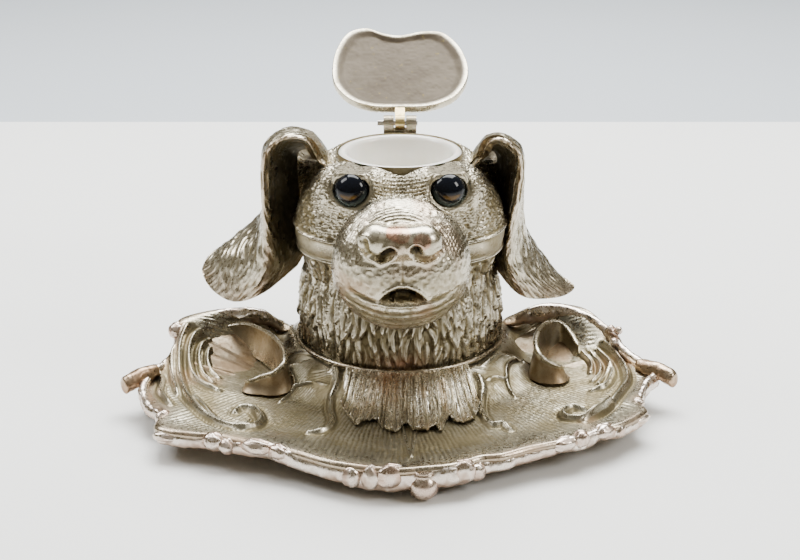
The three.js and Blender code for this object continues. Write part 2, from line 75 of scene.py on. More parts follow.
def ramp(low, high, value):
    """0 below low, 1 above high, and a smooth rise between them."""
    t = np.clip((np.asarray(value, float) - low) / (high - low), 0, 1)
    return t * t * (3 - 2 * t)


def bell(value, width):
    """1 at zero, falling off on both sides as a Gaussian of that width."""
    return np.exp(-((value / width) ** 2))


def noise(points, size, seed=0):
    """Smooth random values from -1 to 1: a hashed value at every whole lattice point, blended between
    the eight nearest ones with the curve 6t^5 - 15t^4 + 10t^3. size is the lattice's spacing."""
    p = np.asarray(points, float) / np.asarray(size, float)
    cell = np.floor(p).astype(np.int64)
    f = p - cell
    w = f * f * f * (f * (f * 6 - 15) + 10)
    total = 0.0
    for corner in product((0, 1), repeat=3):
        c = cell + np.array(corner)
        h = (c[..., 0] * 374761393 + c[..., 1] * 668265263 + c[..., 2] * 974711
             + seed * 12741261) & 0xFFFFFFFF
        h = ((h ^ (h >> 13)) * 1274126177) & 0xFFFFFFFF
        h = (h ^ (h >> 16)) & 0xFFFFFF
        share = np.prod(np.where(np.array(corner) == 1, w, 1 - w), axis=-1)
        total = total + share * (h / 0x7FFFFF - 1)
    return total


def stack(*columns):
    """Arrays of one shape as the last axis of one array of points."""
    return np.stack(np.broadcast_arrays(*columns), axis=-1)


def curve_through(points, count, closed=False):
    """A Catmull-Rom curve through the points, at count places evenly spaced along its length."""
    p = np.asarray(points, float)
    p = np.vstack([p[-1], p, p[0], p[1]]) if closed else np.vstack([2 * p[0] - p[1], p, 2 * p[-1] - p[-2]])
    spans = len(p) - 3
    t = np.linspace(0, spans, spans * 24 + 1)
    i = np.minimum(t.astype(int), spans - 1)
    u = (t - i)[:, None]
    a, b, c, d = p[i], p[i + 1], p[i + 2], p[i + 3]
    q = 0.5 * (2 * b + (c - a) * u + (2 * a - 5 * b + 4 * c - d) * u**2 + (3 * b - 3 * c + d - a) * u**3)
    run = np.concatenate([[0], np.cumsum(np.linalg.norm(np.diff(q, axis=0), axis=1))])
    places = np.linspace(0, run[-1], count + 1)[:-1] if closed else np.linspace(0, run[-1], count)
    return np.stack([np.interp(places, run, q[:, k]) for k in range(q.shape[1])], axis=1)


def blurred(field, reach):
    """A grid of values averaged over a box of 2*reach+1 cells each way, with its second axis closed."""
    out = field
    for axis, mode in ((0, "edge"), (1, "wrap")):
        pad = [(0, 0), (0, 0)]
        pad[axis] = (reach + 1, reach)
        total = np.cumsum(np.pad(out, pad, mode=mode), axis=axis)
        low, high = [slice(None)] * 2, [slice(None)] * 2
        low[axis], high[axis] = slice(0, -(2 * reach + 1)), slice(2 * reach + 1, None)
        out = (total[tuple(high)] - total[tuple(low)]) / (2 * reach + 1)
    return out


def hollows(height, reach, depth):
    """How far each place of a relief lies below its surroundings, from 0 to 1; 0.5 is level with them."""
    return np.clip(0.5 + (blurred(height, reach) - height) / (2 * depth), 0, 1)


# ---- Meshes ----

def skin(name, points, material, body, nodes=(), slot=None, closed=(False, False), turned=False, marks=None,
         flip=False, weld=False, uv_size=(1, 1)):
    """A mesh from a grid of points, rows by columns, with a face between every four neighbours. An axis
    that is closed joins its last row or column to its first. marks are grids of values kept on it."""
    rows, cols = points.shape[:2]
    r = np.arange(rows if closed[0] else rows - 1)[:, None]
    c = np.arange(cols if closed[1] else cols - 1)[None, :]
    r2, c2 = (r + 1) % rows, (c + 1) % cols
    quads = np.stack([r * cols + c, r * cols + c2, r2 * cols + c2, r2 * cols + c], axis=-1).reshape(-1, 4)
    corners = np.stack(
        np.broadcast_arrays(c, r, c + 1, r, c + 1, r + 1, c, r + 1), axis=-1
    ).reshape(-1, 4, 2) / np.array([cols, rows]) * np.array(uv_size)
    if flip:
        quads = quads[:, ::-1]
        corners = corners[:, ::-1]
    place = points.reshape(-1, 3).astype(float)
    if turned:
        cos, sin = math.cos(TRAY_TURN), math.sin(TRAY_TURN)
        place = np.stack([cos * place[:, 0] - sin * place[:, 1], sin * place[:, 0] + cos * place[:, 1],
                          place[:, 2]], 1)
    place = place / 1000 + AXIS
    mesh = bpy.data.meshes.new(name)
    mesh.vertices.add(len(place))
    mesh.vertices.foreach_set("co", place.astype(np.float32).ravel())
    mesh.loops.add(quads.size)
    mesh.loops.foreach_set("vertex_index", quads.astype(np.int32).ravel())
    mesh.polygons.add(len(quads))
    mesh.polygons.foreach_set("loop_start", np.arange(0, quads.size, 4, dtype=np.int32))
    mesh.polygons.foreach_set("use_smooth", np.ones(len(quads), dtype=bool))
    mesh.uv_layers.new(name="UVMap").data.foreach_set("uv", corners.astype(np.float32).ravel())
    for mark, grid in (marks or {}).items():
        values = np.broadcast_to(grid, (rows, cols)).astype(np.float32).ravel()
        mesh.attributes.new(mark, "FLOAT", "POINT").data.foreach_set("value", values)
    mesh.update(calc_edges=True)
    if weld:
        work = bmesh.new()
        work.from_mesh(mesh)
        bmesh.ops.remove_doubles(work, verts=work.verts, dist=2e-6)
        work.to_mesh(mesh)
        work.free()
    mesh.materials.append(material)
    piece = bpy.data.objects.new(name, mesh)
    bpy.context.collection.objects.link(piece)
    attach(piece, body)
    if nodes:
        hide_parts(*nodes)
    return piece


def turned_piece(name, profile, material, body, nodes=(), slot=None, sides=96, centre=(0, 0, 0),
                 matrix=None, **more):
    """A profile of (radius, height) pairs carried round an upright axis, then set by a 3x3 matrix."""
    p = np.asarray(profile, float)
    angle = np.linspace(0, 2 * np.pi, sides, endpoint=False)
    points = stack(p[:, :1] * np.cos(angle), p[:, :1] * np.sin(angle), p[:, 1:] + 0 * angle)
    if matrix is not None:
        points = points @ np.asarray(matrix).T
    points = points + np.asarray(centre, float)
    return skin(name, points, material, body, nodes, slot, closed=(False, True), weld=True, **more)


def rounded(points, radius, steps=5):
    """A profile's corners replaced by quadratic curves that start and end radius away from them."""
    p = np.asarray(points, float)
    out = [p[0]]
    for before, corner, after in zip(p[:-2], p[1:-1], p[2:]):
        a, b = before - corner, after - corner
        reach = min(radius, np.linalg.norm(a) * 0.45, np.linalg.norm(b) * 0.45)
        start, end = corner + a / np.linalg.norm(a) * reach, corner + b / np.linalg.norm(b) * reach
        for t in np.linspace(0, 1, steps):
            out.append((1 - t) ** 2 * start + 2 * t * (1 - t) * corner + t * t * end)
    out.append(p[-1])
    return np.array(out)


# ---- Finishes ----

def group_with(name, inputs, outputs):
    """A new shader node group with named float or colour sockets."""
    group = bpy.data.node_groups.new(name, "ShaderNodeTree")
    for label, kind, value in inputs:
        socket = group.interface.new_socket(label, in_out="INPUT", socket_type=kind)
        if value is not None:
            socket.default_value = value
    for label, kind in outputs:
        group.interface.new_socket(label, in_out="OUTPUT", socket_type=kind)
    start = group.nodes.new("NodeGroupInput")
    end = group.nodes.new("NodeGroupOutput")
    return group, start, end


def texture(tree, kind, vector, **settings):
    """A texture node reading a vector, with its input sockets set by name."""
    node = tree.nodes.new(kind)
    tree.links.new(vector, node.inputs["Vector"])
    for label, value in settings.items():
        node.inputs[label.replace("_", " ")].default_value = value
    return node


def sum_of(tree, operation, a, b, clamp=False):
    """A Math node; a and b are sockets or plain numbers."""
    node = tree.nodes.new("ShaderNodeMath")
    node.operation = operation
    node.use_clamp = clamp
    for i, value in enumerate((a, b)):
        if isinstance(value, (int, float)):
            node.inputs[i].default_value = value
        else:
            tree.links.new(value, node.inputs[i])
    return node.outputs[0]


def mapped(tree, value, low, high, to_low=0.0, to_high=1.0):
    """value stretched from low..high to to_low..to_high, held at both ends."""
    node = tree.nodes.new("ShaderNodeMapRange")
    node.interpolation_type = "SMOOTHSTEP"
    for label, number in (("From Min", low), ("From Max", high), ("To Min", to_low), ("To Max", to_high)):
        node.inputs[label].default_value = number
    tree.links.new(value, node.inputs["Value"])
    return node.outputs["Result"]


def blend_colours(tree, share, a, b):
    """Colour a turning into colour b as share goes from 0 to 1; both may be sockets or colours."""
    node = tree.nodes.new("ShaderNodeMix")
    node.data_type = "RGBA"
    tree.links.new(share, node.inputs[0])
    for index, value in ((6, a), (7, b)):
        if isinstance(value, tuple):
            node.inputs[index].default_value = (*value, 1)
        else:
            tree.links.new(value, node.inputs[index])
    return node.outputs[2]


def plate_group():
    """Worn silver plate. Tarnish and painted shade gather in the hollows, copper shows where the plate is
    rubbed off, and both are broken up by noise. The deepest hollows are painted near-black, as shade.
    It puts out the colour, the roughness and a fine relief."""
    group, start, end = group_with(
        "worn_plate",
        [
            ("Vector", "NodeSocketVector", None),
            ("Hollow", "NodeSocketFloat", 0.5),
            ("Rubbed", "NodeSocketFloat", 0.0),
            ("Tarnish", "NodeSocketFloat", 0.5),
            ("Silver", "NodeSocketColor", (0.54, 0.49, 0.385, 1)),
            ("Film", "NodeSocketColor", (0.19, 0.155, 0.085, 1)),
            ("Copper", "NodeSocketColor", (0.42, 0.24, 0.16, 1)),
            ("Black Shade", "NodeSocketColor", (0.022, 0.016, 0.010, 1)),
        ],
        [("Color", "NodeSocketColor"), ("Roughness", "NodeSocketFloat"), ("Relief", "NodeSocketFloat")],
    )
    vector = start.outputs["Vector"]
    cloud = texture(group, "ShaderNodeTexNoise", vector, Scale=95.0, Detail=5.0,
                    Roughness=0.6).outputs["Fac"]
    speck = texture(group, "ShaderNodeTexNoise", vector, Scale=900.0, Detail=3.0,
                    Roughness=0.7).outputs["Fac"]
    pitting = texture(group, "ShaderNodeTexVoronoi", vector, Scale=700.0).outputs["Distance"]
    # Tarnish film and painted shade both grow with the hollow mark.
    deep = mapped(group, start.outputs["Hollow"], 0.46, 0.82)
    patchy = sum_of(group, "ADD", mapped(group, cloud, 0.35, 0.72),
                    mapped(group, speck, 0.45, 0.7, -0.18, 0.22))
    film = sum_of(group, "MULTIPLY", start.outputs["Tarnish"], patchy)
    film = sum_of(group, "ADD", film, sum_of(group, "MULTIPLY", deep, 0.9), clamp=True)
    rubbed = sum_of(group, "MULTIPLY", start.outputs["Rubbed"], mapped(group, cloud, 0.3, 0.62, 0.55, 1.25),
                    clamp=True)
    silver = blend_colours(group, film, start.outputs["Silver"], start.outputs["Film"])
    colour = blend_colours(group, rubbed, silver, start.outputs["Copper"])
    # Painted near-black shade in the deepest hollows.
    colour = blend_colours(group, mapped(group, start.outputs["Hollow"], BLACK_SHADE_FROM, 1.0), colour,
                           start.outputs["Black Shade"])
    rough = sum_of(group, "ADD", mapped(group, speck, 0.35, 0.7, 0.2, 0.34),
                   sum_of(group, "MULTIPLY", film, 0.26))
    relief = sum_of(group, "ADD", sum_of(group, "MULTIPLY", speck, 0.6),
                    mapped(group, pitting, 0.0, 0.25, -0.5, 0.0))
    for socket, label in ((colour, "Color"), (rough, "Roughness"), (relief, "Relief")):
        group.links.new(socket, end.inputs[label])
    return group


def new_material(name):
    """A new material with its node tree and its main shader."""
    material = bpy.data.materials.new(name)
    material.use_nodes = True
    return material, material.node_tree, material.node_tree.nodes["Principled BSDF"]


def read_mark(tree, label):
    """The value that a piece keeps under that name, such as how deep in a hollow each place is."""
    node = tree.nodes.new("ShaderNodeAttribute")
    node.attribute_name = label
    return node.outputs["Fac"]


PLATE = plate_group()


def plate_finish(name, tarnish=0.45, relief=0.00006, silver=None, film=None, copper=None, marked=True):
    """A silver-plated finish. A marked one follows the hollow and rubbed values kept on its piece."""
    material, tree, shader = new_material(name)
    where = tree.nodes.new("ShaderNodeTexCoord").outputs["Object"]
    group = tree.nodes.new("ShaderNodeGroup")
    group.node_tree = PLATE
    tree.links.new(where, group.inputs["Vector"])
    group.inputs["Tarnish"].default_value = tarnish
    for label, colour in (("Silver", silver), ("Film", film), ("Copper", copper)):
        if colour:
            group.inputs[label].default_value = (*colour, 1)
    if marked:
        tree.links.new(read_mark(tree, "hollow"), group.inputs["Hollow"])
        tree.links.new(read_mark(tree, "rubbed"), group.inputs["Rubbed"])
    bump = tree.nodes.new("ShaderNodeBump")
    bump.inputs["Strength"].default_value = 0.6
    bump.inputs["Distance"].default_value = relief
    tree.links.new(group.outputs["Relief"], bump.inputs["Height"])
    tree.links.new(group.outputs["Color"], shader.inputs["Base Color"])
    tree.links.new(group.outputs["Roughness"], shader.inputs["Roughness"])
    tree.links.new(bump.outputs["Normal"], shader.inputs["Normal"])
    shader.inputs["Metallic"].default_value = 1.0
    return material


def lid_finish():
    """The lid: silver plate outside, and a dull grey-brown lining with gold flecks on its inner face."""
    material = plate_finish("lid_plate", 0.5)
    tree = material.node_tree
    shader = tree.nodes["Principled BSDF"]
    plate = shader.inputs["Base Color"].links[0].from_socket
    polish = shader.inputs["Roughness"].links[0].from_socket
    where = tree.nodes.new("ShaderNodeTexCoord").outputs["Object"]
    cloud = texture(tree, "ShaderNodeTexNoise", where, Scale=60.0, Detail=6.0, Roughness=0.65).outputs["Fac"]
    fleck = texture(tree, "ShaderNodeTexNoise", where, Scale=420.0, Detail=4.0, Roughness=0.7).outputs["Fac"]
    dull = blend_colours(tree, mapped(tree, cloud, 0.35, 0.65), (0.09, 0.07, 0.045), (0.066, 0.048, 0.028))
    dull = blend_colours(tree, mapped(tree, fleck, 0.62, 0.72), dull, (0.14, 0.105, 0.02))
    lining = read_mark(tree, "lining")
    tree.links.new(blend_colours(tree, lining, plate, dull), shader.inputs["Base Color"])
    tree.links.new(mapped(tree, lining, 0, 1, 1.0, 0.5), shader.inputs["Metallic"])
    tree.links.new(sum_of(tree, "MAXIMUM", polish, sum_of(tree, "MULTIPLY", lining, 0.62)),
                   shader.inputs["Roughness"])
    return material


HEAD_PLATE = plate_finish("head_plate", 0.3)
EAR_PLATE = plate_finish("ear_plate", 0.3)
TRAY_PLATE = plate_finish("tray_plate", 0.55, silver=(0.44, 0.405, 0.315), film=(0.17, 0.14, 0.08))
RIM_PLATE = plate_finish("rim_plate", 0.25, silver=(0.74, 0.68, 0.61), film=(0.34, 0.25, 0.18),
                         copper=(0.52, 0.38, 0.30))
HORN_PLATE = plate_finish("horn_plate", 0.4, film=(0.16, 0.11, 0.07), copper=(0.40, 0.26, 0.16))
LID_PLATE = lid_finish()
CREST_PLATE = plate_finish("crest_plate", 0.35, copper=(0.36, 0.24, 0.14), film=(0.20, 0.15, 0.08))
DRAPERY_PLATE = plate_finish("drapery_plate", 0.12, silver=(0.70, 0.65, 0.54), copper=(0.62, 0.36, 0.18))
FOOT_PLATE = plate_finish("foot_plate", 0.3, copper=(0.58, 0.42, 0.36))
HINGE_PLATE = plate_finish("hinge_plate", 0.8, silver=(0.45, 0.40, 0.33), marked=False)
BRASS = plate_finish("hinge_brass", 0.5, silver=(0.72, 0.56, 0.28), film=(0.25, 0.19, 0.08), marked=False)
STEEL = plate_finish("screw_steel", 0.5, silver=(0.45, 0.43, 0.41), film=(0.2, 0.17, 0.13), marked=False)


def porcelain_finish():
    """Cream-white glaze with a faint warm shade that wanders over it and a few dark pinholes."""
    material, tree, shader = new_material("white_porcelain")
    where = tree.nodes.new("ShaderNodeTexCoord").outputs["Object"]
    cloud = texture(tree, "ShaderNodeTexNoise", where, Scale=60.0, Detail=3.0).outputs["Fac"]
    pinholes = texture(tree, "ShaderNodeTexVoronoi", where, Scale=420.0).outputs["Distance"]
    glaze = blend_colours(tree, mapped(tree, cloud, 0.35, 0.7), (0.86, 0.84, 0.79), (0.80, 0.77, 0.70))
    tree.links.new(blend_colours(tree, mapped(tree, pinholes, 0.02, 0.05), (0.55, 0.5, 0.42), glaze),
                   shader.inputs["Base Color"])
    tree.links.new(mapped(tree, cloud, 0.3, 0.7, 0.12, 0.22), shader.inputs["Roughness"])
    shader.inputs["Coat Weight"].default_value = 0.4
    shader.inputs["Coat Roughness"].default_value = 0.05
    shader.inputs["Subsurface Weight"].default_value = 0.1
    shader.inputs["Subsurface Scale"].default_value = 0.002
    return material


def eye_finish():
    """Dark glass over a painted iris. The piece keeps how far each place is from the eye's middle and
    how far below it, so amber shows as a crescent under a blue-black pupil."""
    material, tree, shader = new_material("eye_glass")
    out = read_mark(tree, "from_middle")
    below = read_mark(tree, "below")
    ring = sum_of(tree, "MULTIPLY", mapped(tree, out, 0.3, 0.52), mapped(tree, out, 0.72, 0.6))
    amber = sum_of(tree, "MULTIPLY", ring, mapped(tree, below, 0.28, 0.5), clamp=True)
    edge = sum_of(tree, "MULTIPLY", mapped(tree, out, 0.74, 0.97), mapped(tree, below, -0.2, 0.9),
                  clamp=True)
    pupil = blend_colours(tree, edge, (0.003, 0.004, 0.007), (0.06, 0.08, 0.075))
    tree.links.new(blend_colours(tree, amber, pupil, (0.11, 0.06, 0.014)), shader.inputs["Base Color"])
    tree.links.new(mapped(tree, out, 0.0, 1.0, 0.04, 0.09), shader.inputs["Roughness"])
    shader.inputs["IOR"].default_value = 1.33
    return material


PORCELAIN = porcelain_finish()
EYE_GLASS = eye_finish()


# ---- The head ----

HEAD_CORE = np.array([0.0, 0.0, 50.0])
MUZZLE = ((0.3, -41, 57.6), (22.4, 20.6, 21.2))
HEAD_FORMS = [
    ((0, 4, 62), (34.5, 33, 27), 1),
    ((0, 1, 26), (35, 35.5, 44), 10),
    ((22, -14, 62), (12.5, 14, 16), 8),
    ((-22, -14, 62), (12.5, 14, 16), 8),
    ((14.5, -20, 77.5), (13, 11.8, 11), 6),
    ((-14.5, -20, 77.5), (13, 11.8, 11), 6),
    (*MUZZLE, 5),
    ((7.4, -56.5, 70.8), (5.6, 5.6, 5), 2.2),
    ((-7.4, -56.5, 71.2), (5.6, 5.6, 5), 2.2),
    ((0.5, -57, 70.2), (7, 5.6, 5.2), 2.2),
]


def ellipsoid(points, centre, radii):
    """Nearly the distance from an ellipsoid: the scaled radius less one, over that radius's slope."""
    d = points - np.array(centre, float)
    scaled = np.linalg.norm(d / np.array(radii, float), axis=-1)
    slope = np.linalg.norm(d / np.array(radii, float) ** 2, axis=-1)
    return scaled * (scaled - 1) / np.maximum(slope, 1e-9)


def soft_join(a, b, width):
    """The smaller of two distances, with a fillet of that width where they are nearly alike."""
    h = np.maximum(width - np.abs(a - b), 0) / width
    return np.minimum(a, b) - h * h * width / 4


def head_distance(points):
    """Distance from the run-together forms of the head, planed off level at its top."""
    joined = None
    for centre, radii, width in HEAD_FORMS:
        d = ellipsoid(points, centre, radii)
        joined = d if joined is None else soft_join(joined, d, width)
    return -soft_join(-joined, HEAD_TOP - points[..., 2], 5)


LOWEST_RISE = math.radians(-50)
RUFF_RISE = math.radians(-20)


def cast_head(rows, cols):
    """Points where rays from the head's core meet its surface, from the rim of the well down to the
    neck's foot. Columns crowd towards the face: the azimuth is t - 0.5 sin t. Each point's azimuth and
    the rise of each row come with them."""
    top = math.atan2(HEAD_TOP - HEAD_CORE[2], WELL_BORE)
    rise = np.linspace(top, LOWEST_RISE, rows)[:, None]
    t = np.linspace(-np.pi, np.pi, cols, endpoint=False)[None, :]
    around = t - 0.5 * np.sin(t)
    ray = stack(np.cos(rise) * np.sin(around), -np.cos(rise) * np.cos(around), np.sin(rise) + 0 * around)
    near, far = np.full((rows, cols), 8.0), np.full((rows, cols), 90.0)
    for _ in range(24):
        middle = (near + far) / 2
        inside = head_distance(HEAD_CORE + ray * middle[..., None]) < 0
        near, far = np.where(inside, middle, near), np.where(inside, far, middle)
    to_foot = (HEAD_CORE[2] - NECK_FOOT) / np.maximum(-ray[..., 2], 1e-6)
    near = np.where(ray[..., 2] < 0, np.minimum(near, to_foot), near)
    return HEAD_CORE + ray * near[..., None], around + 0 * rise, rise[:, 0]


def normals_of(points):
    """Unit normals of a grid closed in its columns, from the cross product of its two slopes."""
    along = np.gradient(points, axis=0)
    across = (np.roll(points, -1, axis=1) - np.roll(points, 1, axis=1)) / 2
    n = np.cross(along, across)
    return n / np.maximum(np.linalg.norm(n, axis=-1, keepdims=True), 1e-9)


def to_line(x, z, points):
    """Distance in the x-z plane from a polyline, and how far along it from 0 to 1 the nearest place is."""
    p = np.asarray(points, float)
    lengths = np.linalg.norm(np.diff(p, axis=0), axis=1)
    start = np.concatenate([[0], np.cumsum(lengths)])
    best = np.full(np.shape(x), 1e9)
    along = np.zeros(np.shape(x))
    for i, (a, b) in enumerate(zip(p[:-1], p[1:])):
        d = b - a
        t = np.clip(((x - a[0]) * d[0] + (z - a[1]) * d[1]) / (d @ d), 0, 1)
        gap = np.hypot(x - a[0] - t * d[0], z - a[1] - t * d[1])
        along = np.where(gap < best, (start[i] + t * lengths[i]) / start[-1], along)
        best = np.minimum(best, gap)
    return best, along


def eye_frame(side):
    """An eye's middle and its facing direction."""
    facing = np.array([math.sin(EYE_SPLAY) * side, -math.cos(EYE_SPLAY) * math.cos(EYE_TILT),
                       math.cos(EYE_SPLAY) * math.sin(EYE_TILT)])
    return EYE * np.array([side, 1, 1]), facing / np.linalg.norm(facing)


def set_eye(points, side):
    """The skin round an eye: drawn flat across the eye's own plane, sunk into a socket, and raised in
    lids round its edge, with two creases over the brow. The share of each place in it comes too."""
    middle, facing = eye_frame(side)
    away = points - middle
    axial = away @ facing
    flat = away - axial[..., None] * facing
    out = np.linalg.norm(flat, axis=-1)
    upward = np.array([0, 0, 1.0]) - facing * facing[2]
    up = flat @ (upward / np.linalg.norm(upward)) / np.maximum(out, 1e-6)
    near = (np.abs(axial) < 12) & (away[..., 1] < 14)
    upper, lower = ramp(-0.25, 0.6, up), ramp(0.2, -0.7, up)
    corner = 1 + 0.10 * ramp(0.75, 1.0, np.abs(flat @ np.array([1.0, 0, 0])) / np.maximum(out, 1e-6))
    seat = -2.6 + 3.3 * ramp(4.9, 5.5, out / corner)
    hood = -2.6 + 4.9 * ramp(4.1, 4.9, out / corner)
    level = seat + (hood - seat) * ramp(0.2, 0.75, up) * ramp(8.4, 6.6, out)
    level = level + 0.4 * lower * bell(out - 6.5, 0.8) * ramp(5.4, 6.2, out)
    level = level - 0.7 * upper * bell(out - 6.9, 0.35) + 0.5 * upper * bell(out - 7.6, 0.5)
    level = level - 0.5 * upper * bell(out - 8.6, 0.35)
    share = ramp(9.8, 6.2, out) * near
    return points + facing * ((level - axial) * share)[..., None], near * ramp(8.8, 6.5, out)


LIP_LINE = [(-21, 58), (-17.5, 55), (-12, 52.6), (-7, 51.4), (1, 51), (9, 51.2), (14, 52.4), (19, 55),
            (22, 58.5)]
NOSTRILS = [
    [(-10.6, 72.0), (-10.2, 69.2), (-8.4, 67.0), (-5.8, 66.3), (-2.9, 68.4)],
    [(12.0, 67.6), (10.0, 66.3), (7.6, 65.9), (5.7, 67.0), (4.9, 69.2)],
]


def muzzle_relief(p):
    """Height of the muzzle's carving, and the painted black shade in its nostrils and mouth: fine rings of
    wrinkles over its top, nostrils as sunk commas, the parted lips, the crease up to the nose, and folds
    along the lower lip."""
    x, y, z = p[..., 0], p[..., 1], p[..., 2]
    front = ramp(-46, -52, y)
    ball = bell(ellipsoid(p, *MUZZLE), 1.8)
    height = 0.14 * ball * noise(p, 1.1, 5) + 0.09 * ball * noise(p, 0.6, 6)
    ring = np.hypot(x * 0.82, y + 66)
    top = ball * ramp(60, 66, z) * ramp(-59, -54, y)
    height = height + 0.30 * top * np.sin(ring * 2 * np.pi / 1.35 + 0.9 * noise(p, 5, 7))
    fold = np.hypot(x, z - 56) - 21.5
    height = height - 0.55 * ramp(-50, -40, y) * bell(fold, 0.8) * ramp(52, 60, z)
    # Painted near-black shade, laid in the nostrils and in the open mouth.
    black_shade = np.zeros(x.shape)
    for path in NOSTRILS:
        gap, along = to_line(x, z, path)
        wide = 0.7 + 0.75 * ramp(0.5, 1, along)
        sunk = (0.55 + 0.45 * ramp(0.35, 0.9, along)) * bell(gap, wide) * front
        height = height - 2.6 * sunk + 0.6 * front * bell(gap - wide - 1.0, 0.6)
        black_shade = np.maximum(black_shade, ramp(0.35, 0.75, sunk))
    arch = 50.9 + 5.9 * np.clip(1 - ((x - 0.9) / 7.6) ** 2, 0, 1) ** 0.75
    floor = 50.3 + 0.012 * (x - 0.9) ** 2
    gape = front * ramp(-0.2, 0.9, arch - z) * ramp(-0.1, 0.7, z - floor) * ramp(8.4, 7.2, np.abs(x - 0.9))
    height = height - 6.0 * gape + 0.5 * front * bell(arch - z + 1.0, 0.7) * ramp(9.5, 7.5, np.abs(x - 0.9))
    black_shade = np.maximum(black_shade, ramp(0.25, 0.7, gape))
    gap, along = to_line(x, z, LIP_LINE)
    lips = ramp(-36, -42, y) * bell(gap, 0.6) * ramp(17, 12, np.abs(x))
    height = height - 1.0 * lips
    below = ramp(51, 49.5, z) * ramp(37, 41, z) * front
    height = height + 0.16 * below * np.sin((z - 0.012 * x * x) * 2 * np.pi / 2.5)
    height = height - 0.4 * front * bell(x - 0.8, 0.5) * ramp(57, 59, z) * ramp(67, 65, z)
    return height, black_shade


def brow_relief(p):
    """Fine wrinkles that run across the brow and arch over the muzzle's bridge."""
    x, y, z = p[..., 0], p[..., 1], p[..., 2]
    share = ramp(-12, -17, y) * ramp(72, 76, z) * ramp(16, 10, np.abs(x))
    return share * 0.20 * np.sin((z + 0.3 * y - 0.018 * x * x) * 2 * np.pi / 1.25 + 0.8 * noise(p, 4, 9))


def strap_relief(p):
    """A flat band along both cheeks behind the muzzle, between two fine cords: its height, and where the
    band itself is."""
    x, y, z = p[..., 0], p[..., 1], p[..., 2]
    middle = 57.3 + 0.12 * (np.abs(x) - 28) + 0.06 * (y + 25)
    side = ramp(17, 21, np.abs(x)) * ramp(-39, -36, y) * ramp(8, 2, y)
    flat = ramp(4.4, 3.7, np.abs(z - middle))
    cords = bell(np.abs(z - middle) - 3.9, 0.5)
    return side * (0.5 * flat + 0.75 * cords), side * flat


def locks(around, height, seed):
    """The ruff: tapered locks of hair hanging over each other, each a bent teardrop with a round back and
    fine strands along it. Where locks cross, the highest shows."""
    draw = np.random.default_rng(seed)
    total = 2 * np.pi * 36
    out = np.full(around.shape, -0.4)
    for top in np.arange(54, 20, -4.2):
        for place in np.arange(0, total, 2.5):
            start = place + draw.uniform(-1.0, 1.0)
            root = top + draw.uniform(-2.4, 2.4)
            length, width = draw.uniform(7, 12), draw.uniform(0.9, 1.7)
            bend, lean, lift = draw.uniform(-2.0, 2.0), draw.uniform(-3.0, 3.0), draw.uniform(0.8, 1.7)
            down = np.clip((root - height) / length, -0.2, 1.2)
            across = around - start - lean * down - bend * np.sin(down * 2.6)
            across = (across + total / 2) % total - total / 2
            inside = (down > 0) & (down < 1) & (np.abs(across) < width)
            d, a = down[inside], across[inside]
            half = width * np.maximum(np.sin(np.pi * d**0.75), 0.02) ** 0.7
            back = np.sqrt(np.clip(1 - (a / half) ** 2, 0, 1))
            strand = 0.14 * np.cos(a * 2 * np.pi / 0.8 + 2 * d)
            value = lift * (0.25 + 0.9 * d) * back * ramp(0, 0.12, d) + strand * back - 0.3 * ramp(0.8, 1, d)
            out[inside] = np.maximum(out[inside], value)
    return out


def coat(p, run, seed):
    """Short hair: noise drawn out along the direction in which the hair runs."""
    drawn = stack(p[..., 0], p[..., 1], p[..., 2])
    long = np.einsum("...i,...i->...", drawn, run)
    squeezed = drawn - 0.80 * long[..., None] * run
    return 0.6 * noise(squeezed, 1.15, seed) + 0.4 * noise(squeezed, 0.6, seed + 1)


